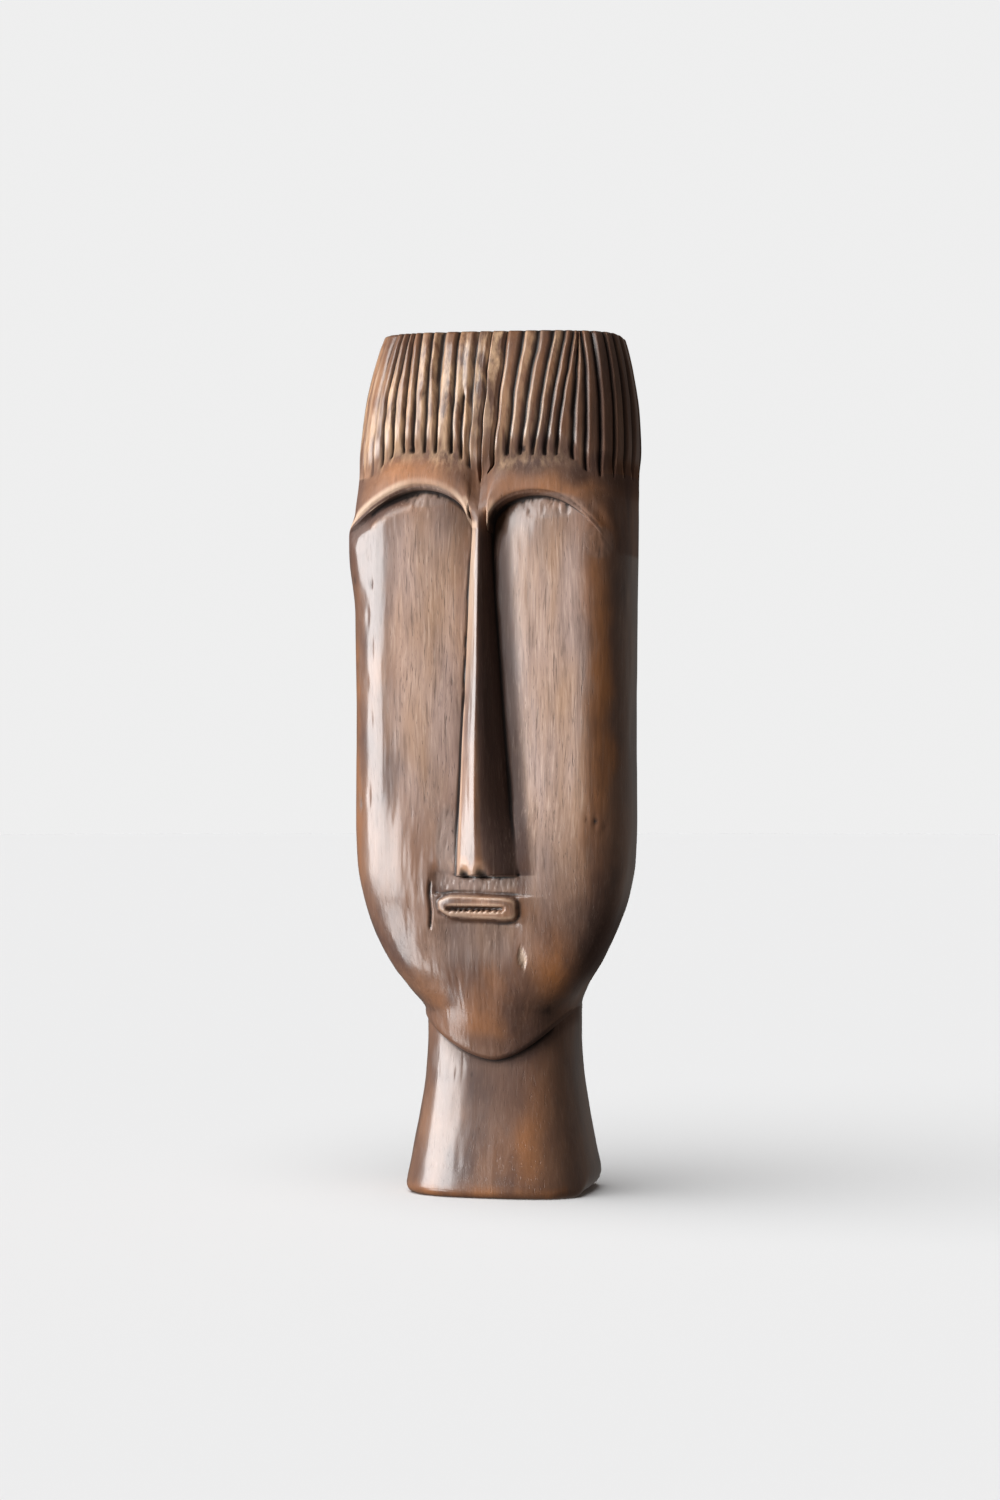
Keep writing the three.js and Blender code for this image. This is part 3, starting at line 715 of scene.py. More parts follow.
@dataclass(frozen=True)
class Wear:
    """What the knife and the years left: tool marks, a crack, chips, pits and the run of the grain."""

    block: Block
    carving: Carving
    seed: int = 40
    pits: tuple[Spot, ...] = (
        Spot(48.5, 159.5, 1.0, 1.1, 0.9), Spot(52.5, 158.0, 0.8, 0.9, 0.8),
        Spot(45.0, 161.5, 0.8, 1.4, 0.5), Spot(18.0, 316.5, 1.2, 1.6, 1.0),
        Spot(-31.0, 317.0, 1.0, 1.2, 0.9), Spot(-40.0, 335.0, 0.9, 1.8, 0.8),
        Spot(-27.0, 341.0, 0.8, 1.4, 0.6), Spot(-58.0, 262.0, 0.8, 2.2, 0.7),
        Spot(-49.0, 260.5, 1.0, 2.2, 0.45), Spot(-50.5, 247.0, 0.7, 4.0, 0.3),
        Spot(-48.5, 234.0, 0.6, 5.0, 0.3), Spot(-51.0, 219.0, 0.8, 3.0, 0.25),
        Spot(-49.0, 203.0, 0.6, 4.5, 0.25), Spot(-50.5, 170.0, 0.8, 3.6, 0.3),
        Spot(-55.0, 167.0, 0.8, 3.0, 0.6), Spot(-57.0, 226.0, 0.7, 2.4, 0.6),
        Spot(-8.0, 52.0, 0.9, 1.0, 0.5), Spot(26.0, 12.0, 1.6, 1.1, 0.5),
        Spot(-24.0, 14.0, 1.2, 0.8, 0.35),
    )
    nostrils: tuple[Spot, Spot] = (Spot(-6.0, 137.9, 2.1, 1.6, 1.0), Spot(2.0, 137.7, 2.0, 1.6, 1.0))
    chip: Spot = Spot(17.0, 102.5, 2.0, 5.0, 0.8)
    chatter: tuple[Spot, ...] = (
        Spot(-24.0, 297.5, 14.0, 5.0, 1.0), Spot(30.0, 292.5, 17.0, 6.0, 0.9),
        Spot(-54.0, 281.0, 6.0, 8.0, 0.5), Spot(50.0, 277.0, 7.0, 8.0, 0.5),
    )
    hacked: tuple[Spot, ...] = (
        Spot(-15.5, 152.0, 5.0, 17.0, 1.0), Spot(-2.0, 134.0, 21.0, 4.5, 0.6),
        Spot(-19.0, 58.0, 10.0, 9.0, 0.6),
    )

    def rough(self, x: Field, z: Field) -> Field:
        """How rough the cut is at each place on the front, from 0 to 1.

        Args:
            x: Places across.
            z: Heights.

        Returns:
            The roughness at each place.
        """
        total = np.zeros(np.broadcast_shapes(x.shape, z.shape))
        for spot in (*self.chatter, *self.hacked):
            total = np.maximum(total, spot.flat(x, z))
        return total

    def marks(self, x: Field, y: Field, z: Field, front: Field) -> Field:
        """Relief of the tool marks and the damage.

        Args:
            x: Places across.
            y: Places from front to back.
            z: Heights.
            front: 1 on the front of the head and 0 on its sides and back.

        Returns:
            The relief, mostly inwards.
        """
        broad, small, long, fine = (Figure(self.seed + k) for k in range(4))
        facets = 0.2 * broad(x / 9, y / 9, z / 34) + 0.11 * small(x / 4, y / 4, z / 15)
        grain = 0.05 * long(x / 1.1, y / 1.1, z / 16) + 0.03 * fine(x / 0.7, y / 0.7, z / 6)
        relief = facets + grain - 0.25
        strokes = np.clip(Figure(self.seed + 4)(x / 0.7, 0.0, z / 2.4) + 0.1, 0, 1)
        relief -= 0.45 * front * strokes * np.maximum.reduce([s.flat(x, z) for s in self.chatter])
        slips = np.clip(Figure(self.seed + 5)(x / 0.9, 0.0, z / 2.2) + 0.1, 0, 1)
        relief -= 0.35 * front * slips * np.maximum.reduce([s.flat(x, z) for s in self.hacked])
        for pit in self.pits:
            relief -= 1.1 * front * pit.weight(x, z)
        damage = self.flake(x, z) + self._crack(x, z) + self._crease(x, z) + self._nostrils(x, z)
        return relief - front * damage

    def flake(self, x: Field, z: Field) -> Field:
        """Leaf-shaped flake that has come off beside the chin's hollow.

        Args:
            x: Places across.
            z: Heights.

        Returns:
            The depth cut away.
        """
        lean = self.chip.x - 0.18 * (z - self.chip.z)
        away = np.abs(x - lean) / self.chip.wide + ((z - self.chip.z) / self.chip.tall) ** 2
        return self.chip.amount * ramp(1.0, 0.55, away)

    def _crack(self, x: Field, z: Field) -> Field:
        """Crack along the nose's left foot, with a notch at its lower end.

        Args:
            x: Places across.
            z: Heights.

        Returns:
            The depth cut away.
        """
        foot = self.carving.nose_left(z / self.block.height) * self.block.head(z).half_width
        wobble = 0.5 * Figure(self.seed + 6)(0.0, 0.0, z / 5)
        line = np.exp(-(((x - foot + 0.7 - wobble) / 0.55) ** 2))
        length = ramp(204, 212, z) * ramp(262, 250, z) * (0.6 + 0.4 * Figure(self.seed + 7)(0.0, 0.0, z / 7))
        notch = Spot(-6.2, 211.5, 1.1, 3.2, 1.5).weight(x, z)
        return 1.3 * line * length + notch

    def _crease(self, x: Field, z: Field) -> Field:
        """Upright stop cut beside the mouth's left end."""
        line = np.exp(-(((x + 22.4 + 0.25 * np.sin(z / 2.5)) / 0.55) ** 2))
        return 1.2 * line * ramp(113, 117, z) * ramp(137, 132, z)

    def _nostrils(self, x: Field, z: Field) -> Field:
        """Two round notches in the nose's lower edge."""
        depth = self.carving.nostril_depth
        return depth * np.maximum(*(spot.weight(x, z) for spot in self.nostrils))


@dataclass(frozen=True)
class Paint:
    """Where the finish is rubbed back or dry on the front, where worn wood and painted highlights lie, and
    where real staining and painted shade darken it.
    """

    rubbed: tuple[Spot, ...] = (
        Spot(-25.0, 304.0, 23.0, 9.0, 1.0, 3), Spot(29.0, 299.0, 23.0, 8.0, 0.95, 3),
        Spot(49.0, 284.0, 7.0, 14.0, 0.8), Spot(49.0, 215.0, 6.0, 60.0, 0.95, 4),
        Spot(46.0, 150.0, 7.0, 22.0, 0.6), Spot(2.0, 80.0, 24.0, 17.0, 0.65, 3),
        Spot(31.0, 98.0, 11.0, 16.0, 0.95), Spot(16.0, 30.0, 9.0, 26.0, 0.7),
        Spot(-28.0, 146.0, 9.0, 16.0, 0.3), Spot(-32.0, 232.0, 6.0, 34.0, 0.7),
        Spot(-4.0, 2.0, 44.0, 3.0, 0.7), Spot(0.0, 121.0, 18.0, 4.0, 0.7),
        Spot(-59.0, 190.0, 3.5, 70.0, 0.6, 3),
    )
    dry: tuple[Spot, ...] = (
        Spot(-23.0, 228.0, 17.0, 66.0, 0.95, 5), Spot(29.0, 208.0, 17.0, 80.0, 0.9, 5),
        Spot(-1.0, 112.0, 25.0, 13.0, 0.4, 3), Spot(-2.0, 134.0, 20.0, 4.5, 0.5, 4),
        Spot(-15.0, 152.0, 6.0, 18.0, 0.6, 3),
    )
    # Edges worn to the wood, which also carry a painted highlight, mostly on the side towards -X.
    worn_edges_and_highlights: tuple[Spot, ...] = (
        Spot(-30.0, 290.0, 34.0, 16.0, 0.8, 4), Spot(-4.0, 280.0, 8.0, 12.0, 0.8, 4),
        Spot(-6.0, 215.0, 9.0, 80.0, 0.6, 6), Spot(14.0, 290.0, 12.0, 12.0, 0.45, 4),
        Spot(0.0, 124.0, 22.0, 9.0, 0.6, 4),
    )
    # Darker spots: some are real staining, most are painted shade under the chin, on the jaw and the hair
    # towards +X, at the brow's ends and in the hollows under the mouth and in the lower left socket.
    stain_and_painted_shade: tuple[Spot, ...] = (
        Spot(5.0, 45.0, 17.0, 16.0, 0.75, 3), Spot(47.0, 309.0, 10.0, 6.5, 0.95, 3),
        Spot(-58.0, 304.0, 9.0, 12.0, 0.7), Spot(0.0, 309.0, 9.0, 5.0, 0.6),
        Spot(56.0, 340.0, 16.0, 40.0, 0.75, 3), Spot(49.0, 106.0, 11.0, 24.0, 1.0, 3),
        Spot(20.0, 309.0, 22.0, 4.0, 0.5), Spot(0.0, 108.0, 20.0, 9.0, 0.35, 3),
        Spot(5.0, 64.0, 18.0, 6.5, 0.65), Spot(48.0, 294.0, 7.0, 7.0, 0.6),
        Spot(20.0, 80.0, 17.0, 15.0, 0.7), Spot(-27.0, 148.0, 9.0, 14.0, 0.35),
    )
    # Painted sheen on the locks towards -X.
    locks_painted_sheen: Spot = Spot(-19.0, 336.0, 23.0, 30.0)
    lips: Spot = Spot(-1.3, 123.9, 23.0, 9.0)
    seed: int = 90

    def strongest(self, spots: tuple[Spot, ...], x: Field, z: Field) -> Field:
        """Strongest of some spots at each point."""
        return np.maximum.reduce([spot.weight(x, z) for spot in spots])

    def uneven(self, spots: tuple[Spot, ...], x: Field, z: Field) -> Field:
        """Strongest of some spots at each point, with an uneven edge.

        Args:
            spots: The spots.
            x: Places across.
            z: Heights.

        Returns:
            The strongest spot's weight.
        """
        broad, small, along = (Figure(self.seed + k) for k in (1, 2, 3))
        off_x = x + 2.4 * broad(x / 12, 0.0, z / 17) + 1.1 * small(x / 4, 0.0, z / 8)
        off_z = z + 4.0 * along(x / 10, 0.0, z / 16)
        return self.strongest(spots, off_x, off_z)


@dataclass
class Rows:
    """Rows of the mesh, from the underside to the crown: one value for each column in each row."""

    x: list[Field] = field(default_factory=list)
    y: list[Field] = field(default_factory=list)
    z: list[Field] = field(default_factory=list)

    def add(self, x: Field, y: Field, z: Field) -> None:
        """Adds rows on top of those that are there."""
        for store, values in ((self.x, x), (self.y, y), (self.z, z)):
            store.append(np.atleast_2d(values))

    def stacked(self) -> tuple[Field, Field, Field]:
        """All rows as three arrays of the same shape."""
        x, y, z = (np.concatenate(store) for store in (self.x, self.y, self.z))
        return x, y, z


@dataclass
class CarvedHead:
    """The whole sculpture as one dense mesh with its marks of the knife, and its finish."""

    name: str = "carved_head_wood"
    block: Block = Block()
    locks: Locks = Locks()
    paint: Paint = Paint()
    socket_columns: tuple[int, int] = (68, 56)
    nose_columns: int = 50
    rim_columns: tuple[int, int] = (5, 8)
    side_steps: tuple[float, ...] = (0.0, 0.07, 0.2, 0.45, 0.72, 0.89)
    crown_steps: tuple[float, ...] = (0.985, 0.95, 0.88, 0.78, 0.62, 0.42, 0.2)

    def __post_init__(self) -> None:
        """Lays out the columns."""
        self.carving = Carving(self.block)
        self.wear = Wear(self.block, self.carving)
        self._plan_columns()

    def _plan_columns(self) -> None:
        """Works out each column's part of the face, its place in that part and its place among the locks."""
        hairline = self.block.head(np.array(self.block.hair_side))
        grooves = self.locks.angles(hairline)
        first, last = self.locks.front[0], self.locks.front[-1]
        rim = self.block.rim_share
        left, right = self.socket_columns
        runs = [
            (Part.RIM, np.linspace(first, -rim, self.rim_columns[0], endpoint=False)),
            (Part.LEFT_SOCKET, np.linspace(0, 1, left, endpoint=False)),
            (Part.NOSE, np.linspace(0, 1, self.nose_columns, endpoint=False)),
            (Part.RIGHT_SOCKET, np.linspace(1, 0, right, endpoint=False)),
            (Part.RIM, np.linspace(rim, last, self.rim_columns[1], endpoint=False)),
        ]
        part = np.concatenate([np.full(len(values), kind.value) for kind, values in runs])
        step = np.concatenate([values for _, values in runs])
        front_count = len(part)
        side_locks = len(grooves) - len(self.locks.front)
        first_side = len(self.locks.front) - 1
        side_lock = np.concatenate([first_side + k + np.array(self.side_steps) for k in range(side_locks)])
        self.part = np.concatenate([part, np.full(len(side_lock), Part.SIDE.value)])
        self.step = np.concatenate([step, np.zeros(len(side_lock))])
        turned = np.interp(side_lock, np.arange(len(grooves)), grooves)
        self.side_angle = np.concatenate([np.zeros(front_count), turned])
        self.is_side = self.part == Part.SIDE.value
        self.is_nose = self.part == Part.NOSE.value
        share = self.share(np.array([[self.block.hair_side]]))[0]
        nearest = [int(np.argmin(np.abs(share[:front_count] - at))) for at in self.locks.front[:-1]]
        near = np.array([*nearest, front_count])
        self.lock = np.concatenate([np.interp(np.arange(front_count), near, np.arange(len(near))), side_lock])
        self.grooves = grooves
        self.front_count = front_count

    def share(self, z: Field) -> Field:
        """Share of the half width of every column at some heights, below the hair.

        Args:
            z: Heights.

        Returns:
            One row of shares for each height.
        """
        height = z / self.block.height
        left, right = self.carving.nose_left(height), self.carving.nose_right(height)
        rim = self.block.rim_share
        section = self.block.head(z)
        shape = np.broadcast_shapes(z.shape, self.part.shape)
        result = np.broadcast_to(section.share_at(self.side_angle), shape).copy()
        for kind, value in (
            (Part.RIM, self.step + 0 * z),
            (Part.LEFT_SOCKET, mix(-rim, left, self.step)),
            (Part.NOSE, mix(left, right, self.step)),
            (Part.RIGHT_SOCKET, mix(rim, right, self.step)),
        ):
            result = np.where(self.part == kind.value, value, result)
        return result

    def angle(self, z: Field, share: Field | None = None) -> Field:
        """Angle of every column round the head at some heights.

        Args:
            z: Heights, a row of them for each row of the mesh.
            share: Shares of the half width to use in place of the face's own.

        Returns:
            The angle, rising from column to column.
        """
        own = self.share(z) if share is None else share
        section = self.block.head(z)
        first, last = self.locks.front[0], self.locks.front[-1]
        start, end = self.grooves[len(self.locks.front) - 1], self.grooves[-1]
        turned = (self.side_angle - start) / (end - start)
        side = mix(section.angle_at(np.array(last)), section.angle_at(np.array(first)) + 2 * HALF_TURN, turned)
        return np.where(self.is_side, side, section.angle_at(own))

    def _step_in(self, kind: Part) -> Field:
        """Place of each column in a part of the face, 0 outside it."""
        return np.where(self.part == kind.value, self.step, 0.0)

    def _wrapped(self, angle: Field) -> Field:
        """Angles brought to between minus and plus half a turn."""
        return (angle + HALF_TURN) % (2 * HALF_TURN) - HALF_TURN

    def _face_relief(self, z: Field, rise: Field) -> Field:
        """Relief between the nose's base and the brow.

        Args:
            z: Heights.
            rise: Share of the way from the nose's base to the brow.

        Returns:
            The relief.
        """
        socket_step = self._step_in(Part.LEFT_SOCKET) + self._step_in(Part.RIGHT_SOCKET)
        relief = self.carving.floor(socket_step + 0 * rise, rise)
        relief = np.where(self.is_nose, self.carving.nose(self.step + 0 * rise, rise), relief)
        return relief + self.carving.corner(self._wrapped(self.angle(z)), z)

    def _finish_rows(self, rows: Rows, z: Field, relief: Field, angle: Field) -> None:
        """Adds rows of the head with the tool marks on them.

        Args:
            rows: Rows so far.
            z: Heights of the new rows.
            relief: Relief of the new rows.
            angle: Angles of the new rows.
        """
        section = self.block.head(z)
        x, y = section.point(angle, relief)
        front = ramp(1.45, 1.0, np.abs(self._wrapped(angle)))
        x, y = section.point(angle, relief + self.wear.marks(x, y, z, front))
        rows.add(x, y, z)

    def _neck(self, rows: Rows) -> None:
        """The underside, the base's rounded edge and the neck up to the jaw.

        Args:
            rows: Rows so far, which get the new ones on top.
        """
        block = self.block
        corner = np.full((1, 1), block.jaw_corner)
        angle = self.angle(corner)
        wrapped = self._wrapped(angle)
        radius = block.edge_radius(wrapped) * (1 + 0.25 * Figure(70)(np.cos(angle) * 4, np.sin(angle) * 4, 0.0))
        turn = np.linspace(0, QUARTER_TURN, 7)[:, None]
        z = radius * (1 - np.cos(turn))
        inset = radius * (1 - np.sin(turn))
        x, y = block.neck(z).point(angle + 0 * z, -inset)
        for share in (0.5, 0.85, 0.97):
            rows.add(x[0] * share, y[0] * share, np.zeros_like(x[0]))
        rows.add(x, y, z)
        jaw = block.jaw_height(block.head(corner), wrapped)
        up = np.linspace(0, 1, 34)[1:, None]
        z = mix(radius, jaw - 0.4, up)
        relief = self._neck_marks(angle, z) * ramp(0, 0.12, up)
        x, y = block.neck(z).point(angle + 0 * z, relief)
        rows.add(x, y, z)

    def _neck_marks(self, angle: Field, z: Field) -> Field:
        """Soft facets of the neck, with small pits under the jaw's left half.

        Args:
            angle: Angles round the head.
            z: Heights.

        Returns:
            The relief.
        """
        x, y = self.block.neck(z).point(angle + 0 * z, 0 * z)
        soft = 0.2 * Figure(71)(x / 13, y / 13, z / 20) + 0.05 * Figure(72)(x / 2.5, y / 2.5, z / 7)
        pitted = Spot(-20.0, 57.0, 12.0, 12.0).flat(x, z) * ramp(0, -10, y)
        return soft - 0.2 - 0.2 * pitted * np.clip(Figure(73)(x / 1.1, y / 1.1, z / 1.2), 0, 1)

    def _under_jaw(self, rows: Rows) -> None:
        """The turn from the neck to the head's surface: it curls under where the chin stands proud.

        Args:
            rows: Rows so far, which get the new ones on top.
        """
        block = self.block
        corner = np.full((1, 1), block.jaw_corner)
        jaw = block.jaw_height(block.head(corner), self._wrapped(self.angle(corner)))
        angle = self.angle(jaw)
        section = block.head(jaw)
        outer_x, outer_y = section.point(angle, self._chin_relief(jaw, angle, np.ones_like(jaw)))
        inner_x, inner_y = block.neck(jaw).point(angle, 0 * jaw)
        overhang = ramp(0.5, 3, np.hypot(outer_x - inner_x, outer_y - inner_y))
        turn = np.linspace(0, 1, 9)[:, None]
        at = (0.0, 0.35, 0.75, 1.0)
        inset = Curve(at, (1, 0.55, 0.13, 0))(turn)
        lift = mix(Curve(at, (0.0, 0.6, 1.4, 2.0))(turn), Curve(at, (0.6, 0.0, 0.8, 2.0))(turn), overhang)
        rows.add(mix(outer_x, inner_x, inset), mix(outer_y, inner_y, inset), jaw + lift)

    def _chin_relief(self, z: Field, angle: Field, drop: Field) -> Field:
        """Relief of the chin's rows.

        Args:
            z: Heights.
            angle: Angles round the head.
            drop: Share of the way from the chin's top down to the jaw's edge.

        Returns:
            The relief.
        """
        section = self.block.head(z)
        x = section.half_width * section.share_at(angle)
        front = np.cos(angle) > 0
        return np.where(front, self.carving.chin(x, z, drop), 0)

    def _chin(self, rows: Rows) -> None:
        """The chin and the cheeks beside it.

        Args:
            rows: Rows so far, which get the new ones on top.
        """
        block = self.block
        corner = np.full((1, 1), block.jaw_corner)
        jaw = block.jaw_height(block.head(corner), self._wrapped(self.angle(corner)))
        drop = np.linspace(1, 0, 34)[:-1, None]
        z = mix(block.chin_top, jaw + 2.5, drop)
        angle = self.angle(z)
        self._finish_rows(rows, z, self._chin_relief(z, angle, drop + 0 * z), angle)

    def _mouth(self, rows: Rows) -> None:
        """The mouth, up to the nose's base.

        Args:
            rows: Rows so far, which get the new ones on top.
        """
        block, carving = self.block, self.carving
        level = np.linspace(block.chin_top, block.nose_base - 0.6, 44)[:, None]
        z = level + 0 * self.step
        angle = self.angle(z)
        section = block.head(z)
        x = section.half_width * section.share_at(angle)
        tilt = carving.mouth_tilt * ramp(block.chin_top, carving.mouth_height - 6, level)
        tilt = tilt * ramp(block.nose_base, carving.mouth_height + 6, level)
        front = np.cos(angle) > 0
        relief = np.where(front, carving.mouth(x, z), 0) + carving.corner(self._wrapped(angle), z)
        self._finish_rows(rows, z - tilt * (x / block.half), relief, angle)

    def _sockets(self, rows: Rows, brow: Field) -> None:
        """The nose's lower edge, the nose and the sockets up to the brow.

        Args:
            rows: Rows so far, which get the new ones on top.
            brow: Height of the brow's lower edge at each column.
        """
        block, carving = self.block, self.carving
        base = block.nose_base
        turn = np.linspace(0, 1, 7)[1:, None]
        z = mix(base - 0.6, base + 0.9, turn**2.2) + 0 * self.step
        rise = np.clip((z - base) / (brow - base), 0, 1)
        angle = self.angle(z)
        section = block.head(z)
        under = np.where(np.cos(angle) > 0, carving.mouth(section.half_width * section.share_at(angle), z), 0)
        out = np.sin(turn * QUARTER_TURN)
        relief = mix(under, self._face_relief(z, rise) + under * (1 - self.is_nose), out)
        self._finish_rows(rows, z, relief, angle)
        low = 0.9 / (brow - base)
        up = np.linspace(0, 1, 92)[1:, None]
        rise = mix(low, 0.988, mix(up, 1 - (1 - up) ** 1.5, 0.55))
        z = mix(base, brow, rise)
        angle = self.angle(z)
        section = block.head(z)
        x = section.half_width * section.share_at(angle)
        under = np.where(self.is_nose | (np.cos(angle) < 0), 0, carving.mouth(x, z))
        cut = self._undercut(x, z, brow) * ramp(1.5, 1.2, np.abs(self._wrapped(angle)))
        self._finish_rows(rows, z, self._face_relief(z, rise) + under - cut, angle)

    def _undercut(self, x: Field, z: Field, brow: Field) -> Field:
        """Depth of the cut under the brow's end at -X."""
        return 2.2 * ramp(11.0, 1.0, brow - z) * ramp(-20, -36, x) * ramp(-60, -56, x)

    def _brow(self, rows: Rows, brow: Field, hair: Field) -> None:
        """The brow's lip over the sockets, its band and the valley under the hair.

        Args:
            rows: Rows so far, which get the new ones on top.
            brow: Height of the brow's lower edge at each column.
            hair: Height of the hairline at each column.
        """
        turn = np.linspace(0, 1, 8)[1:-1, None]
        z_low, z_high = mix(self.block.nose_base, brow, 0.988), brow
        z = mix(z_low, z_high, 0.25 * turn + 0.75 * turn**2)
        angle = self.angle(z)
        floor = self._face_relief(z, 0.988 + 0 * z)
        lip = self._brow_relief(z, angle, 0 * z)
        self._finish_rows(rows, z, mix(floor, lip, np.sin(turn * QUARTER_TURN) ** 0.8), angle)
        up = np.linspace(0, 1, 24)[:, None]
        z = mix(brow, hair - 3.5, 0.35 * up**2 + 0.65 * up)
        angle = self.angle(z)
        rise = (z - brow) / (hair - brow)
        self._finish_rows(rows, z, self._brow_relief(z, angle, rise), angle)

    def _brow_relief(self, z: Field, angle: Field, rise: Field) -> Field:
        """Relief of the brow's rows.

        Args:
            z: Heights.
            angle: Angles round the head.
            rise: Share of the way from the brow's lower edge to the hairline.

        Returns:
            The relief.
        """
        share = self.block.head(z).share_at(angle)
        wrapped = self._wrapped(angle)
        own = self.carving.brow(share, wrapped, rise, self.step + 0 * z, self.is_nose)
        return own + self.carving.corner(wrapped, z)

    def _hair(self, rows: Rows, brow: Field, hair: Field) -> None:
        """The locks, from the hairline to the crown's edge.

        Args:
            rows: Rows so far, which get the new ones on top.
            brow: Height of the brow's lower edge at each column.
            hair: Height of the hairline at each column.
        """
        block = self.block
        edge = block.crown - block.crown_edge_radius
        near = np.linspace(-3.5, 6, 16)[1:, None]
        low = hair + near
        up = np.linspace(0, 1, 27)[1:, None]
        z = np.concatenate([low, mix(hair + 6, edge, up)])
        angle, relief = self._lock_rows(z, brow, hair)
        tilted = z - (block.crown - block.crown_height(self._flat_x(z, angle))) * ramp(edge - 25, edge, z)
        self._finish_rows(rows, tilted, relief, angle)
        turn = np.linspace(0, QUARTER_TURN, 6)[1:, None]
        z = edge + block.crown_edge_radius * np.sin(turn) + 0 * self.step
        angle, relief = self._lock_rows(z, brow, hair)
        tilted = z - (block.crown - block.crown_height(self._flat_x(z, angle)))
        self._finish_rows(rows, tilted, relief - block.crown_edge_radius * (1 - np.cos(turn)), angle)

    def _flat_x(self, z: Field, angle: Field) -> Field:
        """Places across of the plain head, without relief."""
        section = self.block.head(z)
        return section.half_width * section.share_at(angle)

    def _lock_rows(self, z: Field, brow: Field, hair: Field) -> tuple[Field, Field]:
        """Angles and relief of rows of hair.

        Args:
            z: Heights.
            brow: Height of the brow's lower edge at each column.
            hair: Height of the hairline at each column.

        Returns:
            The angle and the relief of each point.
        """
        block, locks = self.block, self.locks
        section = block.head(z)
        narrowing = block.head(np.full((1, 1), block.hair_side)).half_width / section.half_width - 1
        above = z - hair
        rise = np.clip(above / (block.crown - hair), 0, 1)
        own = locks.share_of(self.lock, narrowing, rise, z)
        share = mix(self.share(z), own, ramp(-3.5, 1.5, above))
        angle = self.angle(z, share)
        width = self._lock_width(z, narrowing, rise)
        across = ramp(1.15, 1.3, np.abs(self._wrapped(angle)))
        valley = self._brow_relief(z, angle, np.clip((z - brow) / (hair - brow), 0, 1)) * ramp(12, -3.5, above)
        return angle, valley + locks.relief(self.lock + 0 * z, width, above, z) * mix(1, 0.92, across)

    def _lock_width(self, z: Field, narrowing: Field, rise: Field) -> Field:
        """Width of the lock that each point is on, in millimetres.

        Args:
            z: Heights.
            narrowing: How much the head has narrowed since the hairline.
            rise: Share of the way from the hairline to the crown.

        Returns:
            The width at each point.
        """
        number = np.floor(self.lock + 1e-6)
        half = self.block.head(z).half_width
        start = self.locks.share_of(number + 0 * z, narrowing, rise, z)
        end = self.locks.share_of(number + 1 + 0 * z, narrowing, rise, z)
        facing = np.clip(np.abs(self._wrapped(self.angle(z))), 0, 1.2)
        front = (end - start) * half / np.clip(np.cos(facing * 0.75), 0.4, 1)
        turn = self.grooves[-1] - self.grooves[-2]
        return np.where(self.is_side, turn * half * 0.82, front)

    def _crown(self, rows: Rows) -> None:
        """The sawn top, closing towards its middle.

        Args:
            rows: Rows so far, which get the new ones on top.
        """
        block = self.block
        x, y = rows.x[-1][-1], rows.y[-1][-1]
        for share in self.crown_steps:
            saw = 0.05 * np.sin(x * share * 2.2 + 0.4 * np.sin(y * share / 3)) - 0.06
            z = block.crown_height(x * share) + block.crown_dome * (1 - share**2) + saw
            rows.add(x * share, y * share, z)

    def rows(self) -> Rows:
        """All rows, from the underside to the crown.

        Returns:
            The rows.
        """
        block = self.block
        root = np.array(block.nose_root / block.height)
        feet = float(self.carving.nose_left(root)), float(self.carving.nose_right(root))
        brow = block.brow_height(self.share(np.full((1, 1), block.nose_root))[0], *feet)
        hair_at = np.full((1, 1), block.hair_side)
        hair = block.hair_height(self.share(hair_at), self._wrapped(self.angle(hair_at)))[0]
        rows = Rows()
        self.brow, self.hair = brow, hair
        corner = np.full((1, 1), block.jaw_corner)
        self.jaw = block.jaw_height(block.head(corner), self._wrapped(self.angle(corner)))[0]
        self._neck(rows)
        self._under_jaw(rows)
        self._chin(rows)
        self._mouth(rows)
        self._sockets(rows, brow)
        self._brow(rows, brow, hair)
        self._hair(rows, brow, hair)
        self._crown(rows)
        return rows

    def build(self) -> bpy.types.Object:
        """Makes the mesh and its painted masks.

        Returns:
            The sculpture's object, with no finish yet.
        """
        x, y, z = self.rows().stacked()
        count, columns = x.shape
        points = np.stack([x, y, z], -1).reshape(-1, 3)
        points = np.concatenate([points, [[0, 0, 0], [0, 0, self.block.height]]]) * MM
        low, high = np.array(cad_low), np.array(cad_high)
        points = np.clip(points, low, high)
        place = np.arange(count * columns).reshape(count, columns)
        after = np.roll(place, -1, 1)
        quads = np.stack([place[:-1], after[:-1], after[1:], place[1:]], -1).reshape(-1, 4).tolist()
        under = [(b, a, count * columns) for a, b in zip(place[0].tolist(), after[0].tolist())]
        top = [(a, b, count * columns + 1) for a, b in zip(place[-1].tolist(), after[-1].tolist())]
        mesh = bpy.data.meshes.new(self.name)
        mesh.from_pydata(points.tolist(), [], quads + under + top)
        mesh.update()
        mesh.polygons.foreach_set("use_smooth", np.ones(len(mesh.polygons), bool))
        self._unwrap(mesh, points / MM, count, columns)
        for mask, values in self._masks(x, y, z).items():
            layer = mesh.attributes.new(mask, "FLOAT", "POINT")
            flat = np.concatenate([values.reshape(-1), values[0, :1], values[-1, :1]])
            layer.data.foreach_set("value", np.clip(flat, 0, 1).astype(np.float32))
        piece = bpy.data.objects.new(self.name, mesh)
        bpy.context.scene.collection.objects.link(piece)
        return piece

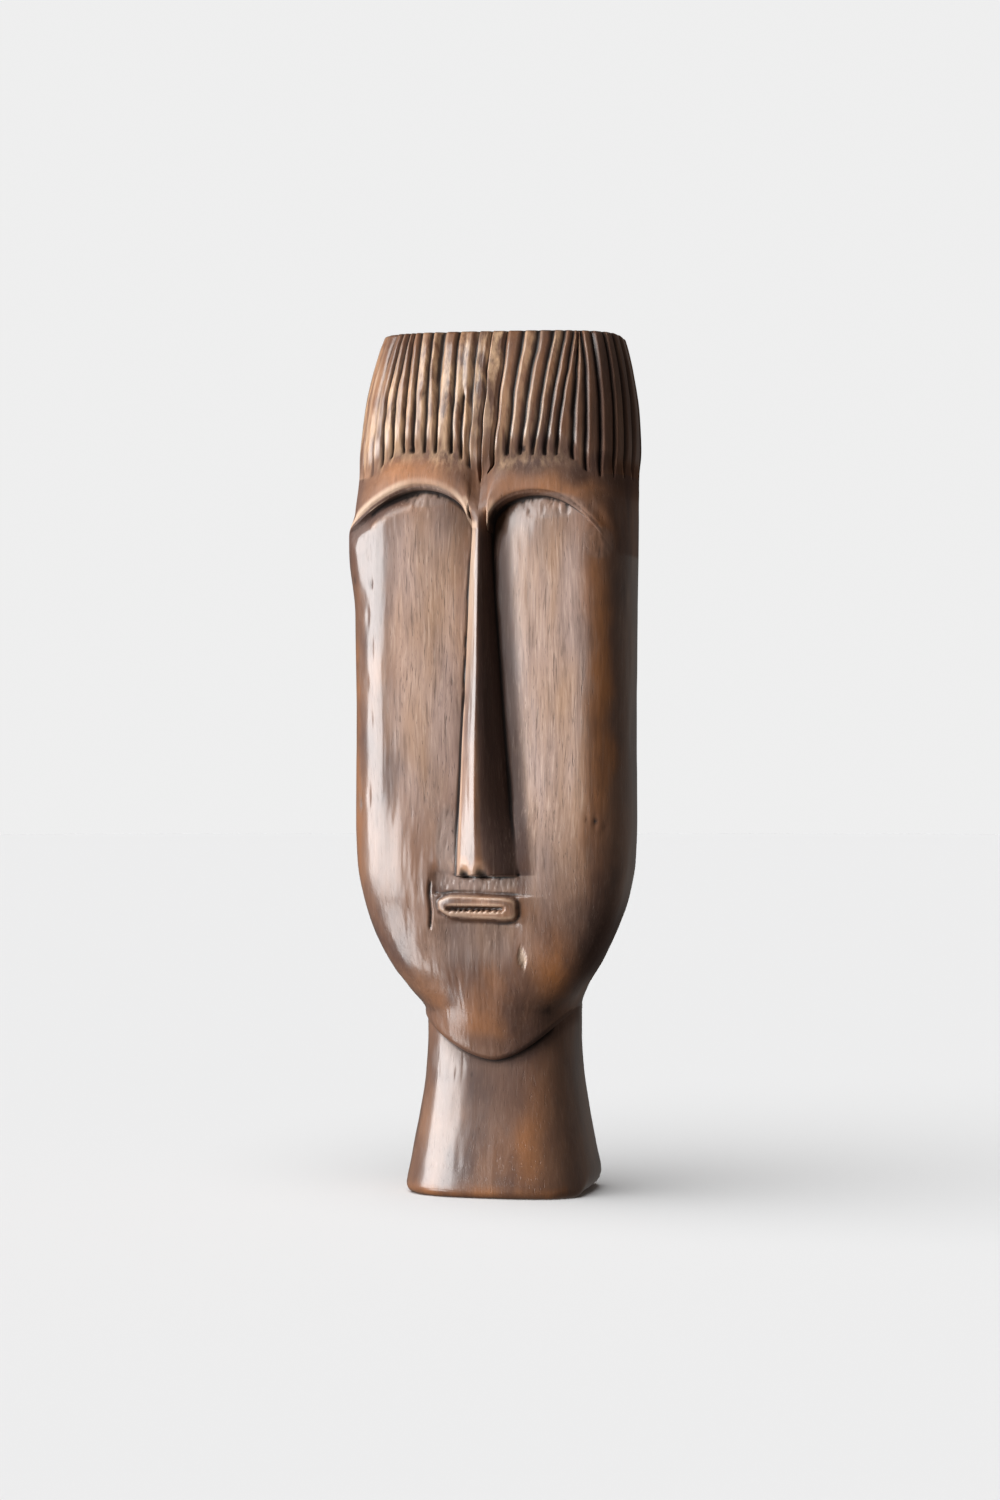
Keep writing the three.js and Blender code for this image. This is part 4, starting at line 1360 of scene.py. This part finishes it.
    def _unwrap(self, mesh: bpy.types.Mesh, points: Field, count: int, columns: int) -> None:
        """Lays the surface out flat for the bake: round the piece across, and from the underside up.

        Args:
            mesh: The mesh, with its quads first, then the underside's fan and the crown's.
            points: The mesh's points.
            count: Number of rows.
            columns: Number of columns.
        """
        grid = points[: count * columns].reshape(count, columns, 3)
        around = np.linalg.norm(np.diff(grid[:, np.arange(columns + 1) % columns], axis=1), axis=-1).mean(0)
        upwards = np.linalg.norm(np.diff(grid, axis=0), axis=-1).mean(1)
        u = np.concatenate([[0], np.cumsum(around)]) / around.sum()
        v = mix(0.01, 0.99, np.concatenate([[0], np.cumsum(upwards)]) / upwards.sum())
        left, right = np.meshgrid(u[:-1], v)[0], np.meshgrid(u[1:], v)[0]
        level = np.repeat(v[:, None], columns, 1)
        quads_u = np.stack([left[:-1], right[:-1], right[1:], left[1:]], -1)
        quads_v = np.stack([level[:-1], level[:-1], level[1:], level[1:]], -1)
        middle = (left[0] + right[0]) / 2
        under = np.stack([right[0], left[0], middle], -1)
        top = np.stack([left[0], right[0], middle], -1)
        ends = np.repeat([[0.01, 0.01, 0.0]], columns, 0), np.repeat([[0.99, 0.99, 1.0]], columns, 0)
        across = np.concatenate([quads_u.reshape(-1), under.reshape(-1), top.reshape(-1)])
        upright = np.concatenate([quads_v.reshape(-1), *(end.reshape(-1) for end in ends)])
        layer = mesh.uv_layers.new(name="OFBake")
        layer.data.foreach_set("uv", np.stack([across, upright], -1).reshape(-1).astype(np.float32))

    def _swell(self, x: Field, y: Field, z: Field) -> tuple[Field, Field]:
        """How far each point stands out of its surroundings, and how far it faces the front.

        Args:
            x: Places across.
            y: Places from front to back.
            z: Heights.

        Returns:
            The height over the surroundings in millimetres, and 1 where the surface faces the front.
        """
        out = np.stack([x, y, z], -1)
        near = sum(np.roll(out, k, 1) for k in range(-4, 5)) / 9
        padded = np.concatenate([near[:3][::-1], near, near[-3:][::-1]])
        near = sum(padded[k : k + len(out)] for k in range(7)) / 7
        normal = np.cross(np.gradient(out, axis=1), np.gradient(out, axis=0))
        normal /= np.linalg.norm(normal, axis=-1, keepdims=True) + 1e-9
        return ((out - near) * normal).sum(-1), ramp(0.45, -0.1, normal[..., 1]) * ramp(12, -4, y)

    def _beside_nose(self) -> Field:
        """The right socket's inner part, where the nose's shadow is painted."""
        return (self.part == Part.RIGHT_SOCKET.value) * ramp(0.72, 0.9, self.step)

    def _painted_deep_shade(self, x: Field, z: Field) -> Field:
        """Painted shade where the carving goes deep: on the nose's right side and the nose's shadow beside it,
        in the valley under the hair, under the brow's lip and the left brow's end, and under the jaw.

        Args:
            x: Places across.
            z: Heights.

        Returns:
            How much painted shade there is at each point.
        """
        root = self.block.nose_root
        # Painted shade on the nose's right side and its cast shadow in the right socket.
        nose_shade = self.is_nose * ramp(0.44, 0.56, self.step) + self._beside_nose()
        nose_shade = nose_shade * (z > self.block.nose_base) * ramp(root + 8, root - 6, z)
        # Painted shade in the valley under the hair, darker towards +X and lighter at the middle.
        valley = ramp(0.5, 0.9, (z - self.brow) / (self.hair - self.brow)) * ramp(9, -1, z - self.hair)
        valley = valley * (0.45 + 0.35 * ramp(-10, 20, x)) * (1 - 0.5 * ramp(5, 0, np.abs(x)))
        below = self.brow - z
        under_brow = below > -0.6
        # Painted shadow in a thin band under the brow's lip, and in a wider wedge under the left brow's end.
        under_brow_shade = ramp(3.6, 0.4, below) * under_brow * ramp(0.05, 0.2, self.step + self.is_nose) * ~self.is_nose
        wedge = ramp(11.0, 3.0, below) * under_brow * ramp(-24, -36, x)
        # Painted shadow under the jaw on the neck, fading out towards -X.
        shadow = ramp(11.0, 0.5, self.jaw - z) * (z < self.jaw + 1.5) * ramp(-30, -5, x)
        return np.maximum.reduce([0.95 * nose_shade, valley, 0.7 * under_brow_shade, wedge, 0.8 * shadow])

    def _worn_lip_and_highlight(self, x: Field, z: Field) -> Field:
        """Worn wood and a painted highlight along the brow's lower lip, strongest towards -X, and a painted
        highlight down the nose's left face.

        Args:
            x: Places across.
            z: Heights.

        Returns:
            How much worn wood and painted highlight each point has.
        """
        root = self.block.nose_root
        below = self.brow - z
        # Worn wood and a painted highlight on the brow's lower lip, strongest towards -X.
        lip = ramp(0.4, -0.4, below) * ramp(-4.5, -1.5, below) * ramp(9, 3, x)
        lip = lip * np.where(self.is_nose, ramp(0.55, 0.35, self.step), 1)
        # Painted highlight down the nose's left face.
        ridge = self.is_nose * ramp(0.46, 0.3, self.step) * ramp(root + 3, root - 3, z)
        ridge = ridge * ramp(root - 90, root - 20, z)
        return np.maximum(0.6 * ridge, lip * (0.35 + 0.5 * ramp(-26, -38, x) + 0.4 * ramp(-14, -6, x)))

    def _lock_paint(self, x: Field, y: Field, z: Field) -> tuple[Field, Field]:
        """How gold each lock is, with a painted sheen on the locks towards -X and painted shade towards +X and
        the back, and the painted highlight on each lock's left edge.

        Args:
            x: Places across.
            y: Places from front to back.
            z: Heights.

        Returns:
            The gold with its painted sheen and shade, and the painted highlight, at each point.
        """
        number = np.floor(self.lock + 1e-6)
        across = self.lock - number
        gold, wear = Figure(self.paint.seed), Figure(self.paint.seed + 4)
        # Gold that varies from lock to lock, with a painted sheen on the locks towards -X and painted shade:
        # less gold towards +X and at the back.
        lock_gold_sheen_and_shade = 0.35 + gold(number * 3.3, 0.0, z / 26) + 1.3 * self.paint.locks_painted_sheen.weight(x, z)
        lock_gold_sheen_and_shade = lock_gold_sheen_and_shade * (0.35 + 0.65 * ramp(48, 20, x)) * mix(0.3, 1, ramp(4, -14, y))
        # Painted highlight on each lock's left edge, fading out towards +X.
        edge = ramp(0.0, 0.08, across) * ramp(0.4, 0.16, across)
        edge = edge * ramp(1.0, 7.0, z - self.hair) * ramp(46, 4, x)
        return lock_gold_sheen_and_shade, edge * (0.5 + 0.5 * wear(number * 2.7, 0.0, z / 12))

    def _masks(self, x: Field, y: Field, z: Field) -> dict[str, Field]:
        """Masks that the finish reads, each with a value for each point.

        Args:
            x: Places across.
            y: Places from front to back.
            z: Heights.

        Returns:
            One mask for each name.
        """
        paint, hair_side = self.paint, self.block.hair_side
        swell, front = self._swell(x, y, z)
        column = np.abs(self.share(np.full((1, 1), hair_side)))
        swell = swell * np.maximum(ramp(0.86, 0.79, column), z > hair_side - 2)
        off_crown = np.arange(len(z))[:, None] < len(z) - len(self.crown_steps) - 1
        in_hair = ramp(hair_side - 4, hair_side + 6, z) * off_crown
        # Gold of the locks with painted sheen and shade, and the painted highlight on their edges.
        lock_gold_sheen_and_shade, lock_edge_highlight = self._lock_paint(x, y, z)
        slit = ramp(0.25, 0.8, self.carving.slit(x, z))
        nostrils = np.maximum(*(ramp(0.12, 0.5, spot.weight(x, z)) for spot in self.wear.nostrils))
        # Worn wood and a painted highlight on edges that stand out.
        worn = ramp(0.2, 0.65, swell) * paint.strongest(paint.worn_edges_and_highlights, x, z)
        # Painted shade in grooves and creases, from how far each point sinks below its surroundings.
        groove = mix(ramp(0.07, 0.55, -swell), ramp(0.05, 0.38, -swell), in_hair)
        groove = groove * off_crown * (1 - 0.6 * paint.lips.flat(x, z))
        pits = ramp(0.2, 0.6, paint.strongest(self.wear.pits, x, z))
        proud = 0.55 * ramp(0.1, 0.5, swell) * (1 - 0.5 * in_hair)
        # The pale dry colour is held back where the nose's shadow is painted, and in the deepest hollows.
        dry = front * paint.uneven(paint.dry, x, z) * (1 - 0.9 * self._beside_nose())
        # Real staining together with painted shade in the deep places.
        stain_and_painted_shade = np.maximum(paint.uneven(paint.stain_and_painted_shade, x, z), self._painted_deep_shade(x, z))
        return {
            "rubbed": np.maximum(front * paint.uneven(paint.rubbed, x, z), proud),
            # Worn wood with painted highlights on the lit edges, the brow's lip, the nose and the locks.
            "worn": front * np.maximum.reduce([worn, self._worn_lip_and_highlight(x, z), 0.75 * lock_edge_highlight]),
            "dry": dry * ramp(-0.1, 0.1, 0.2 + swell),
            # Real staining and painted shade, which darken the colour.
            "stain_and_painted_shade": front * stain_and_painted_shade,
            "satin": ramp(1.0, -1.0, self.brow - z) * ramp(8.0, 0.0, z - self.hair),
            # Near-black painted shade in the grooves, the mouth's slit, the nostrils and the pits.
            "hollow": np.maximum(groove, front * np.maximum.reduce([0.9 * slit, nostrils, 0.7 * pits])),
            "rough": front * self.wear.rough(x, z),
            "chip": front * ramp(0.2, 0.7, self.wear.flake(x, z) / self.wear.chip.amount),
            # Gold of the locks with its painted sheen and shade.
            "lock": lock_gold_sheen_and_shade * in_hair,
        }

    def dress(self, piece: bpy.types.Object) -> None:
        """Gives the sculpture its finish and ties it to the solid.

        Args:
            piece: The sculpture's object.
        """
        piece.data.materials.append(StainedWood().material())
        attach(piece, "root")
        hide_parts("carved_head")
        log.info("%s: %d points, %d faces", piece.name, len(piece.data.vertices), len(piece.data.polygons))


@dataclass(frozen=True)
class Signal:
    """A node's output that takes part in Python arithmetic."""

    tree: "NodeTree"
    socket: bpy.types.NodeSocket

    def _math(self, operation: str, first: Any, second: Any) -> "Signal":
        """Adds one Math node.

        Args:
            operation: The node's operation.
            first: Its first value.
            second: Its second value.

        Returns:
            The node's output.
        """
        return self.tree.node("ShaderNodeMath", {"operation": operation}, {0: first, 1: second})

    def __add__(self, other: Any) -> "Signal":
        """Sum with a value."""
        return self._math("ADD", self, other)

    def __radd__(self, other: Any) -> "Signal":
        """Sum with a number in front."""
        return self._math("ADD", other, self)

    def __sub__(self, other: Any) -> "Signal":
        """Difference from a value."""
        return self._math("SUBTRACT", self, other)

    def __rsub__(self, other: Any) -> "Signal":
        """Difference from a number in front."""
        return self._math("SUBTRACT", other, self)

    def __mul__(self, other: Any) -> "Signal":
        """Product with a value."""
        return self._math("MULTIPLY", self, other)

    def __rmul__(self, other: Any) -> "Signal":
        """Product with a number in front."""
        return self._math("MULTIPLY", other, self)

    def __pow__(self, other: Any) -> "Signal":
        """Power of a value."""
        return self._math("POWER", self, other)

    def between(self, low: float, high: float) -> "Signal":
        """Straight ramp that is 0 at low and 1 at high, also where low is the larger."""
        ends = {1: low, 2: high, 3: 0.0, 4: 1.0}
        return self.tree.node("ShaderNodeMapRange", {"clamp": True}, {0: self, **ends})


@dataclass
class NodeTree:
    """A material's nodes."""

    tree: bpy.types.NodeTree

    def node(self, kind: str, settings: dict[str, Any], sockets: dict[Any, Any], output: Any = 0) -> Signal:
        """Adds a node.

        Args:
            kind: The node's type.
            settings: Its settings, which are set before its sockets.
            sockets: Values or links of its inputs, by name or number.
            output: The output that is wanted, by name or number.

        Returns:
            That output.
        """
        made = self.tree.nodes.new(kind)
        for key, value in settings.items():
            setattr(made, key, value)
        for key, value in sockets.items():
            if isinstance(value, Signal):
                self.tree.links.new(value.socket, made.inputs[key])
            elif isinstance(value, tuple) and len(value) == 3 and made.inputs[key].type == "RGBA":
                made.inputs[key].default_value = (*value, 1.0)
            else:
                made.inputs[key].default_value = value
        return Signal(self, made.outputs[output])

    def blend(self, share: Any, start: Any, end: Any, how: str = "MIX") -> Signal:
        """Mixes two colours.

        Args:
            share: Share of the second colour.
            start: First colour.
            end: Second colour.
            how: Blend mode.

        Returns:
            The mixed colour.
        """
        settings = {"data_type": "RGBA", "blend_type": how, "clamp_factor": True}
        return self.node("ShaderNodeMix", settings, {0: share, 6: start, 7: end}, 2)

    def mask(self, name: str) -> Signal:
        """Reads one of the mesh's masks."""
        return self.node("ShaderNodeAttribute", {"attribute_name": name}, {}, "Fac")

    def finish(self, shader: Signal) -> None:
        """Links a shader to the material's output."""
        end = self.tree.nodes.new("ShaderNodeOutputMaterial")
        self.tree.links.new(shader.socket, end.inputs["Surface"])

    def noise(self, where: Signal, scale: tuple[float, float, float], detail: float, rough: float) -> Signal:
        """Adds a noise that is stretched by its scale in each direction.

        Args:
            where: Places in metres.
            scale: Cells to the metre across, along and up.
            detail: Number of finer layers.
            rough: Strength of the finer layers.

        Returns:
            The noise, about 0 to 1.
        """
        spread = self.node("ShaderNodeVectorMath", {"operation": "MULTIPLY"}, {0: where, 1: scale})
        return self.node(
            "ShaderNodeTexNoise", {"noise_dimensions": "3D"},
            {"Vector": spread, "Scale": 1.0, "Detail": detail, "Roughness": rough},
        )


@dataclass(frozen=True)
class StainedWood:
    """Brown hardwood, darkened by real staining and by painted shade, rubbed back to amber on what stands
    proud, dry and pale in the sockets, with painted highlights on lit edges and near-black painted shade in the
    hollows.
    """

    name: str = "stained_wood"
    walnut: Colour = (0.165, 0.083, 0.049)
    walnut_dark: Colour = (0.078, 0.040, 0.029)
    amber: Colour = (0.285, 0.106, 0.029)
    pale_mauve: Colour = (0.375, 0.262, 0.218)
    pale_tan: Colour = (0.350, 0.205, 0.118)
    # Light gold for the locks, which also stands in for their painted sheen.
    gold_with_sheen: Colour = (0.500, 0.320, 0.190)
    # Near-black brown for real staining and for painted shade.
    stain_and_shade: Colour = (0.050, 0.024, 0.018)
    # Near-black for the painted shade in the hollows.
    hollow_shade: Colour = (0.012, 0.008, 0.007)
    pore: Colour = (0.040, 0.022, 0.016)
    fibre_light: Colour = (0.620, 0.470, 0.380)
    dusty: Colour = (0.200, 0.150, 0.130)
    # Pale wood for chips and worn edges, and for the painted highlights.
    worn_wood_and_highlight: Colour = (0.560, 0.400, 0.290)

    def material(self) -> bpy.types.Material:
        """Makes the material.

        Returns:
            The material, ready for the piece.
        """
        made = bpy.data.materials.new(self.name)
        made.use_nodes = True
        made.node_tree.nodes.clear()
        tree = NodeTree(made.node_tree)
        place = self._bent_place(tree)
        cloud = tree.noise(place, (55, 55, 24), 3, 0.55)
        blotch = tree.noise(place, (62, 62, 15), 2, 0.5)
        streak = tree.noise(place, (300, 300, 26), 3, 0.6)
        fibre = tree.noise(place, (1100, 1100, 70), 3, 0.6)
        scratch = tree.noise(place, (950, 950, 42), 3, 0.6).between(0.37, 0.30)
        pore = tree.noise(place, (1500, 1500, 190), 2, 0.5).between(0.63, 0.72)
        dry, rough, hollow = tree.mask("dry"), tree.mask("rough"), tree.mask("hollow")
        rubbed, chip = tree.mask("rubbed"), tree.mask("chip")

        base = tree.blend(cloud.between(0.36, 0.62), self.walnut_dark, self.walnut)
        # Gold with a painted sheen on the locks.
        base = tree.blend(tree.mask("lock") * streak.between(0.4, 0.66), base, self.gold_with_sheen)
        base = tree.blend(rubbed * (0.25 + 0.75 * cloud.between(0.3, 0.6)), base, self.amber)
        pale = tree.blend(blotch.between(0.42, 0.66) * 0.75, self.pale_mauve, self.pale_tan)
        base = tree.blend(dry * (0.55 + 0.8 * cloud), base, pale)
        # Real staining and painted shade darken the colour here.
        base = tree.blend(tree.mask("stain_and_painted_shade") * 0.85, base, self.stain_and_shade)
        base = tree.blend(streak.between(0.5, 0.3) * (0.12 + 0.26 * dry), base, self.walnut_dark)
        base = tree.blend(fibre.between(0.54, 0.75) * (0.06 + 0.4 * dry), base, self.fibre_light)
        base = tree.blend(fibre.between(0.47, 0.27) * (0.16 + 0.34 * dry), base, self.pore)
        base = tree.blend(scratch * (0.1 + 0.5 * dry), base, self.pore)
        base = tree.blend(rough * 0.5, base, self.dusty)
        base = tree.blend(pore * (0.15 + 0.3 * dry + 0.4 * rough), base, self.pore)
        base = tree.blend(chip * 0.8, base, self.worn_wood_and_highlight)
        # Painted shade in the hollows, less where a flake has come off.
        base = tree.blend(hollow * (0.95 - 0.6 * chip), base, self.hollow_shade)
        # Worn wood and painted highlights.
        base = tree.blend(tree.mask("worn") * 0.8, base, self.worn_wood_and_highlight)

        stain_and_painted_shade, satin = tree.mask("stain_and_painted_shade"), tree.mask("satin")
        dull = 0.3 + 0.08 * fibre + 0.2 * hollow + 0.14 * rough + 0.3 * dry + 0.1 * rubbed
        dull = dull + 0.45 * stain_and_painted_shade + 0.2 * satin
        polish = 1.0 - 0.95 * dry - 0.35 * rubbed - 0.6 * hollow - 0.9 * stain_and_painted_shade - 0.65 * satin
        grit = tree.noise(place, (420, 420, 420), 3, 0.6)
        height = (0.25 + 0.4 * dry) * fibre + 0.3 * streak - 0.4 * pore
        height = height - 0.5 * scratch * (0.2 + dry) + 0.5 * grit * rough
        bump = tree.node("ShaderNodeBump", {}, {"Strength": 0.6, "Distance": 0.0003, "Height": height})
        shader = tree.node(
            "ShaderNodeBsdfPrincipled", {},
            {
                "Base Color": base, "Roughness": dull, "Normal": bump, "IOR": 1.5, "Coat IOR": 1.5,
                "Coat Weight": polish.between(0.0, 1.0), "Coat Roughness": 0.2, "Specular IOR Level": 0.4,
            },
        )
        tree.finish(shader)
        return made

    def _bent_place(self, tree: NodeTree) -> Signal:
        """Places on the piece, bent a little so that the grain doesn't run dead straight.

        Args:
            tree: The material's nodes.

        Returns:
            The bent places.
        """
        place = tree.node("ShaderNodeTexCoord", {}, {}, "Object")
        spread = tree.node("ShaderNodeVectorMath", {"operation": "MULTIPLY"}, {0: place, 1: (70, 70, 16)})
        sway = tree.node("ShaderNodeTexNoise", {}, {"Vector": spread, "Scale": 1.0, "Detail": 2.0}, "Color")
        bend = {0: sway, 1: (0.006, 0.006, 0.0), 2: place}
        return tree.node("ShaderNodeVectorMath", {"operation": "MULTIPLY_ADD"}, bend)


@dataclass(frozen=True)
class SoftLight:
    """One soft studio light: where it stands round the sculpture, how large and how strong."""

    name: str
    azimuth: float
    elevation: float
    distance: float
    wide: float
    tall: float
    watts: float
    colour: Colour = (1.0, 1.0, 1.0)
    mirrored: bool = True


@dataclass(frozen=True)
class Studio:
    """Plain pale floor and backdrop, soft lights, and the camera at the photograph's angle."""

    aim: tuple[float, float, float] = (0.0, 0.0, 0.19)
    camera_azimuth: float = 14.0
    camera_distance: float = 1.4
    camera_height: float = 0.185
    focal_px: float = 3229.0
    centre_px: tuple[float, float] = (505.4, 762.0)
    frame_px: tuple[float, float] = (1000.0, 1500.0)
    sensor: float = 36.0
    pale: Colour = (0.80, 0.80, 0.80)
    room_radius: float = 7.0
    room_level: float = 0.86
    fill_level: float = 0.11
    fill_colour: Colour = (1.0, 0.93, 0.87)
    floor_light_level: float = 3.33
    floor_light_colour: Colour = (0.990, 0.998, 1.008)
    floor_light_spread: float = 70.0
    floor_light_tilt: float = 25.0
    floor_light_turn: float = -40.0
    lights: tuple[SoftLight, ...] = (
        SoftLight("window", -51.0, 8.0, 1.8, 1.6, 1.3, 60.0),
        SoftLight("window_top", -36.0, 42.0, 1.8, 1.0, 0.65, 13.0),
        SoftLight("window_side", -92.0, 6.0, 1.7, 1.0, 1.6, 17.0, mirrored=False),
        SoftLight("table_bounce", -48.0, -25.0, 1.7, 0.72, 0.45, 7.5),
        SoftLight("right_edge", 118.0, 8.0, 1.6, 0.6, 1.2, 4.5, mirrored=False),
    )

    def build(self, piece: bpy.types.Object) -> None:
        """Makes the floor, the backdrop, the lights and the camera.

        Args:
            piece: The sculpture, which alone is lit by the soft lights.
        """
        lit = bpy.data.collections.new("lit_by_the_soft_lights")
        lit.objects.link(piece)
        self._room()
        for light in self.lights:
            self._light(light).light_linking.receiver_collection = lit
        self._camera()

    def _spot(self, azimuth: float, elevation: float, distance: float) -> tuple[float, float, float]:
        """Place at an angle round the aim.

        Args:
            azimuth: Angle from the front towards +X, in degrees.
            elevation: Angle above level, in degrees.
            distance: Distance from the aim.

        Returns:
            The place.
        """
        a, e = math.radians(azimuth), math.radians(elevation)
        x, y, z = math.sin(a) * math.cos(e), -math.cos(a) * math.cos(e), math.sin(e)
        return tuple(c + distance * d for c, d in zip(self.aim, (x, y, z)))

    def _light(self, light: SoftLight) -> bpy.types.Object:
        """Adds one area light that faces the sculpture.

        Args:
            light: The light.

        Returns:
            The light's object.
        """
        data = bpy.data.lights.new(light.name, "AREA")
        data.shape = "RECTANGLE"
        data.size, data.size_y = light.wide, light.tall
        data.energy = light.watts
        data.color = light.colour
        lamp = bpy.data.objects.new(light.name, data)
        lamp.location = self._spot(light.azimuth, light.elevation, light.distance)
        e, a = math.radians(90 - light.elevation), math.radians(light.azimuth)
        lamp.rotation_euler = (e, 0.0, a)
        lamp.visible_camera = False
        lamp.visible_glossy = light.mirrored
        bpy.context.scene.collection.objects.link(lamp)
        return lamp

    def _room(self) -> None:
        """Adds the floor, a pale shell all round it and a faint even fill."""
        floor = self._disc("floor", self.room_radius)
        shell = self._shell("backdrop", self.room_radius)
        for piece in (floor, shell):
            piece.visible_diffuse = False
            piece.visible_glossy = False
        floor.visible_shadow = shell.visible_shadow = False
        stage = bpy.data.collections.new("lit_by_the_floor_light")
        stage.objects.link(floor)
        sun = bpy.data.lights.new("floor_light", "SUN")
        sun.energy = self.floor_light_level
        sun.color = self.floor_light_colour
        sun.angle = math.radians(self.floor_light_spread)
        lamp = bpy.data.objects.new("floor_light", sun)
        lamp.rotation_euler = (math.radians(self.floor_light_tilt), 0.0, math.radians(self.floor_light_turn))
        lamp.light_linking.receiver_collection = stage
        bpy.context.scene.collection.objects.link(lamp)
        world = bpy.data.worlds.new("fill")
        world.use_nodes = True
        world.node_tree.nodes["Background"].inputs["Color"].default_value = (*self.fill_colour, 1.0)
        world.node_tree.nodes["Background"].inputs["Strength"].default_value = self.fill_level
        bpy.context.scene.world = world
        bpy.context.scene.view_settings.view_transform = "Standard"
        log.info("stage: floor and backdrop")

    def _disc(self, name: str, radius: float) -> bpy.types.Object:
        """Adds the floor.

        Args:
            name: Name of the object.
            radius: Radius in metres.

        Returns:
            The floor's object.
        """
        turns = np.linspace(0, 2 * HALF_TURN, 96, endpoint=False)
        points = [(radius * math.cos(t), radius * math.sin(t), 0.0) for t in turns]
        mesh = bpy.data.meshes.new(name)
        mesh.from_pydata(points, [], [tuple(range(len(points)))])
        floor = bpy.data.objects.new(name, mesh)
        bpy.context.scene.collection.objects.link(floor)
        made = bpy.data.materials.new("pale_floor")
        made.use_nodes = True
        shader = made.node_tree.nodes["Principled BSDF"]
        shader.inputs["Base Color"].default_value = (*self.pale, 1.0)
        shader.inputs["Roughness"].default_value = 0.9
        shader.inputs["Specular IOR Level"].default_value = 0.0
        mesh.materials.append(made)
        return floor

    def _shell(self, name: str, radius: float) -> bpy.types.Object:
        """Adds the backdrop, a pale shell that gives no light to the sculpture.

        Args:
            name: Name of the object.
            radius: Radius in metres.

        Returns:
            The backdrop's object.
        """
        mesh = bpy.data.meshes.new(name)
        rises = np.linspace(-0.3, QUARTER_TURN - 0.02, 24)
        rings = [(radius * math.cos(t), radius * math.sin(t)) for t in rises]
        turns = np.linspace(0, 2 * HALF_TURN, 64, endpoint=False)
        points = [(r * math.cos(t), r * math.sin(t), h) for r, h in rings for t in turns]
        n = len(turns)
        quads = [
            (k * n + i, k * n + n + i, k * n + n + (i + 1) % n, k * n + (i + 1) % n)
            for k in range(len(rings) - 1) for i in range(n)
        ]
        top = [tuple((len(rings) - 1) * n + i for i in range(n))]
        mesh.from_pydata(points, [], quads + top)
        shell = bpy.data.objects.new(name, mesh)
        bpy.context.scene.collection.objects.link(shell)
        made = bpy.data.materials.new("pale_backdrop")
        made.use_nodes = True
        shader = made.node_tree.nodes["Principled BSDF"]
        shader.inputs["Base Color"].default_value = (0.0, 0.0, 0.0, 1.0)
        shader.inputs["Specular IOR Level"].default_value = 0.0
        shader.inputs["Emission Color"].default_value = (1.0, 1.0, 1.0, 1.0)
        shader.inputs["Emission Strength"].default_value = self.room_level
        mesh.materials.append(made)
        return shell

    def _camera(self) -> None:
        """Adds the camera: level, at the photograph's angle, with the shift that its framing needs."""
        data = bpy.data.cameras.new("camera")
        longest = max(self.frame_px)
        data.sensor_width = self.sensor
        data.lens = self.focal_px * self.sensor / longest
        data.shift_x = -(self.centre_px[0] - self.frame_px[0] / 2) / longest
        data.shift_y = (self.centre_px[1] - self.frame_px[1] / 2) / longest
        data.clip_start, data.clip_end = 0.05, 60.0
        camera = bpy.data.objects.new("camera", data)
        a = math.radians(self.camera_azimuth)
        reach = self.camera_distance
        camera.location = (reach * math.sin(a), -reach * math.cos(a), self.camera_height)
        camera.rotation_euler = (QUARTER_TURN, 0.0, a)
        bpy.context.scene.collection.objects.link(camera)
        bpy.context.scene.camera = camera


def main() -> None:
    """Builds the sculpture and its studio."""
    logging.basicConfig(level=logging.INFO, format="%(message)s")
    head = CarvedHead()
    piece = head.build()
    head.dress(piece)
    Studio().build(piece)
    log.info("sizes written")


if __name__ == "__main__":
    main()
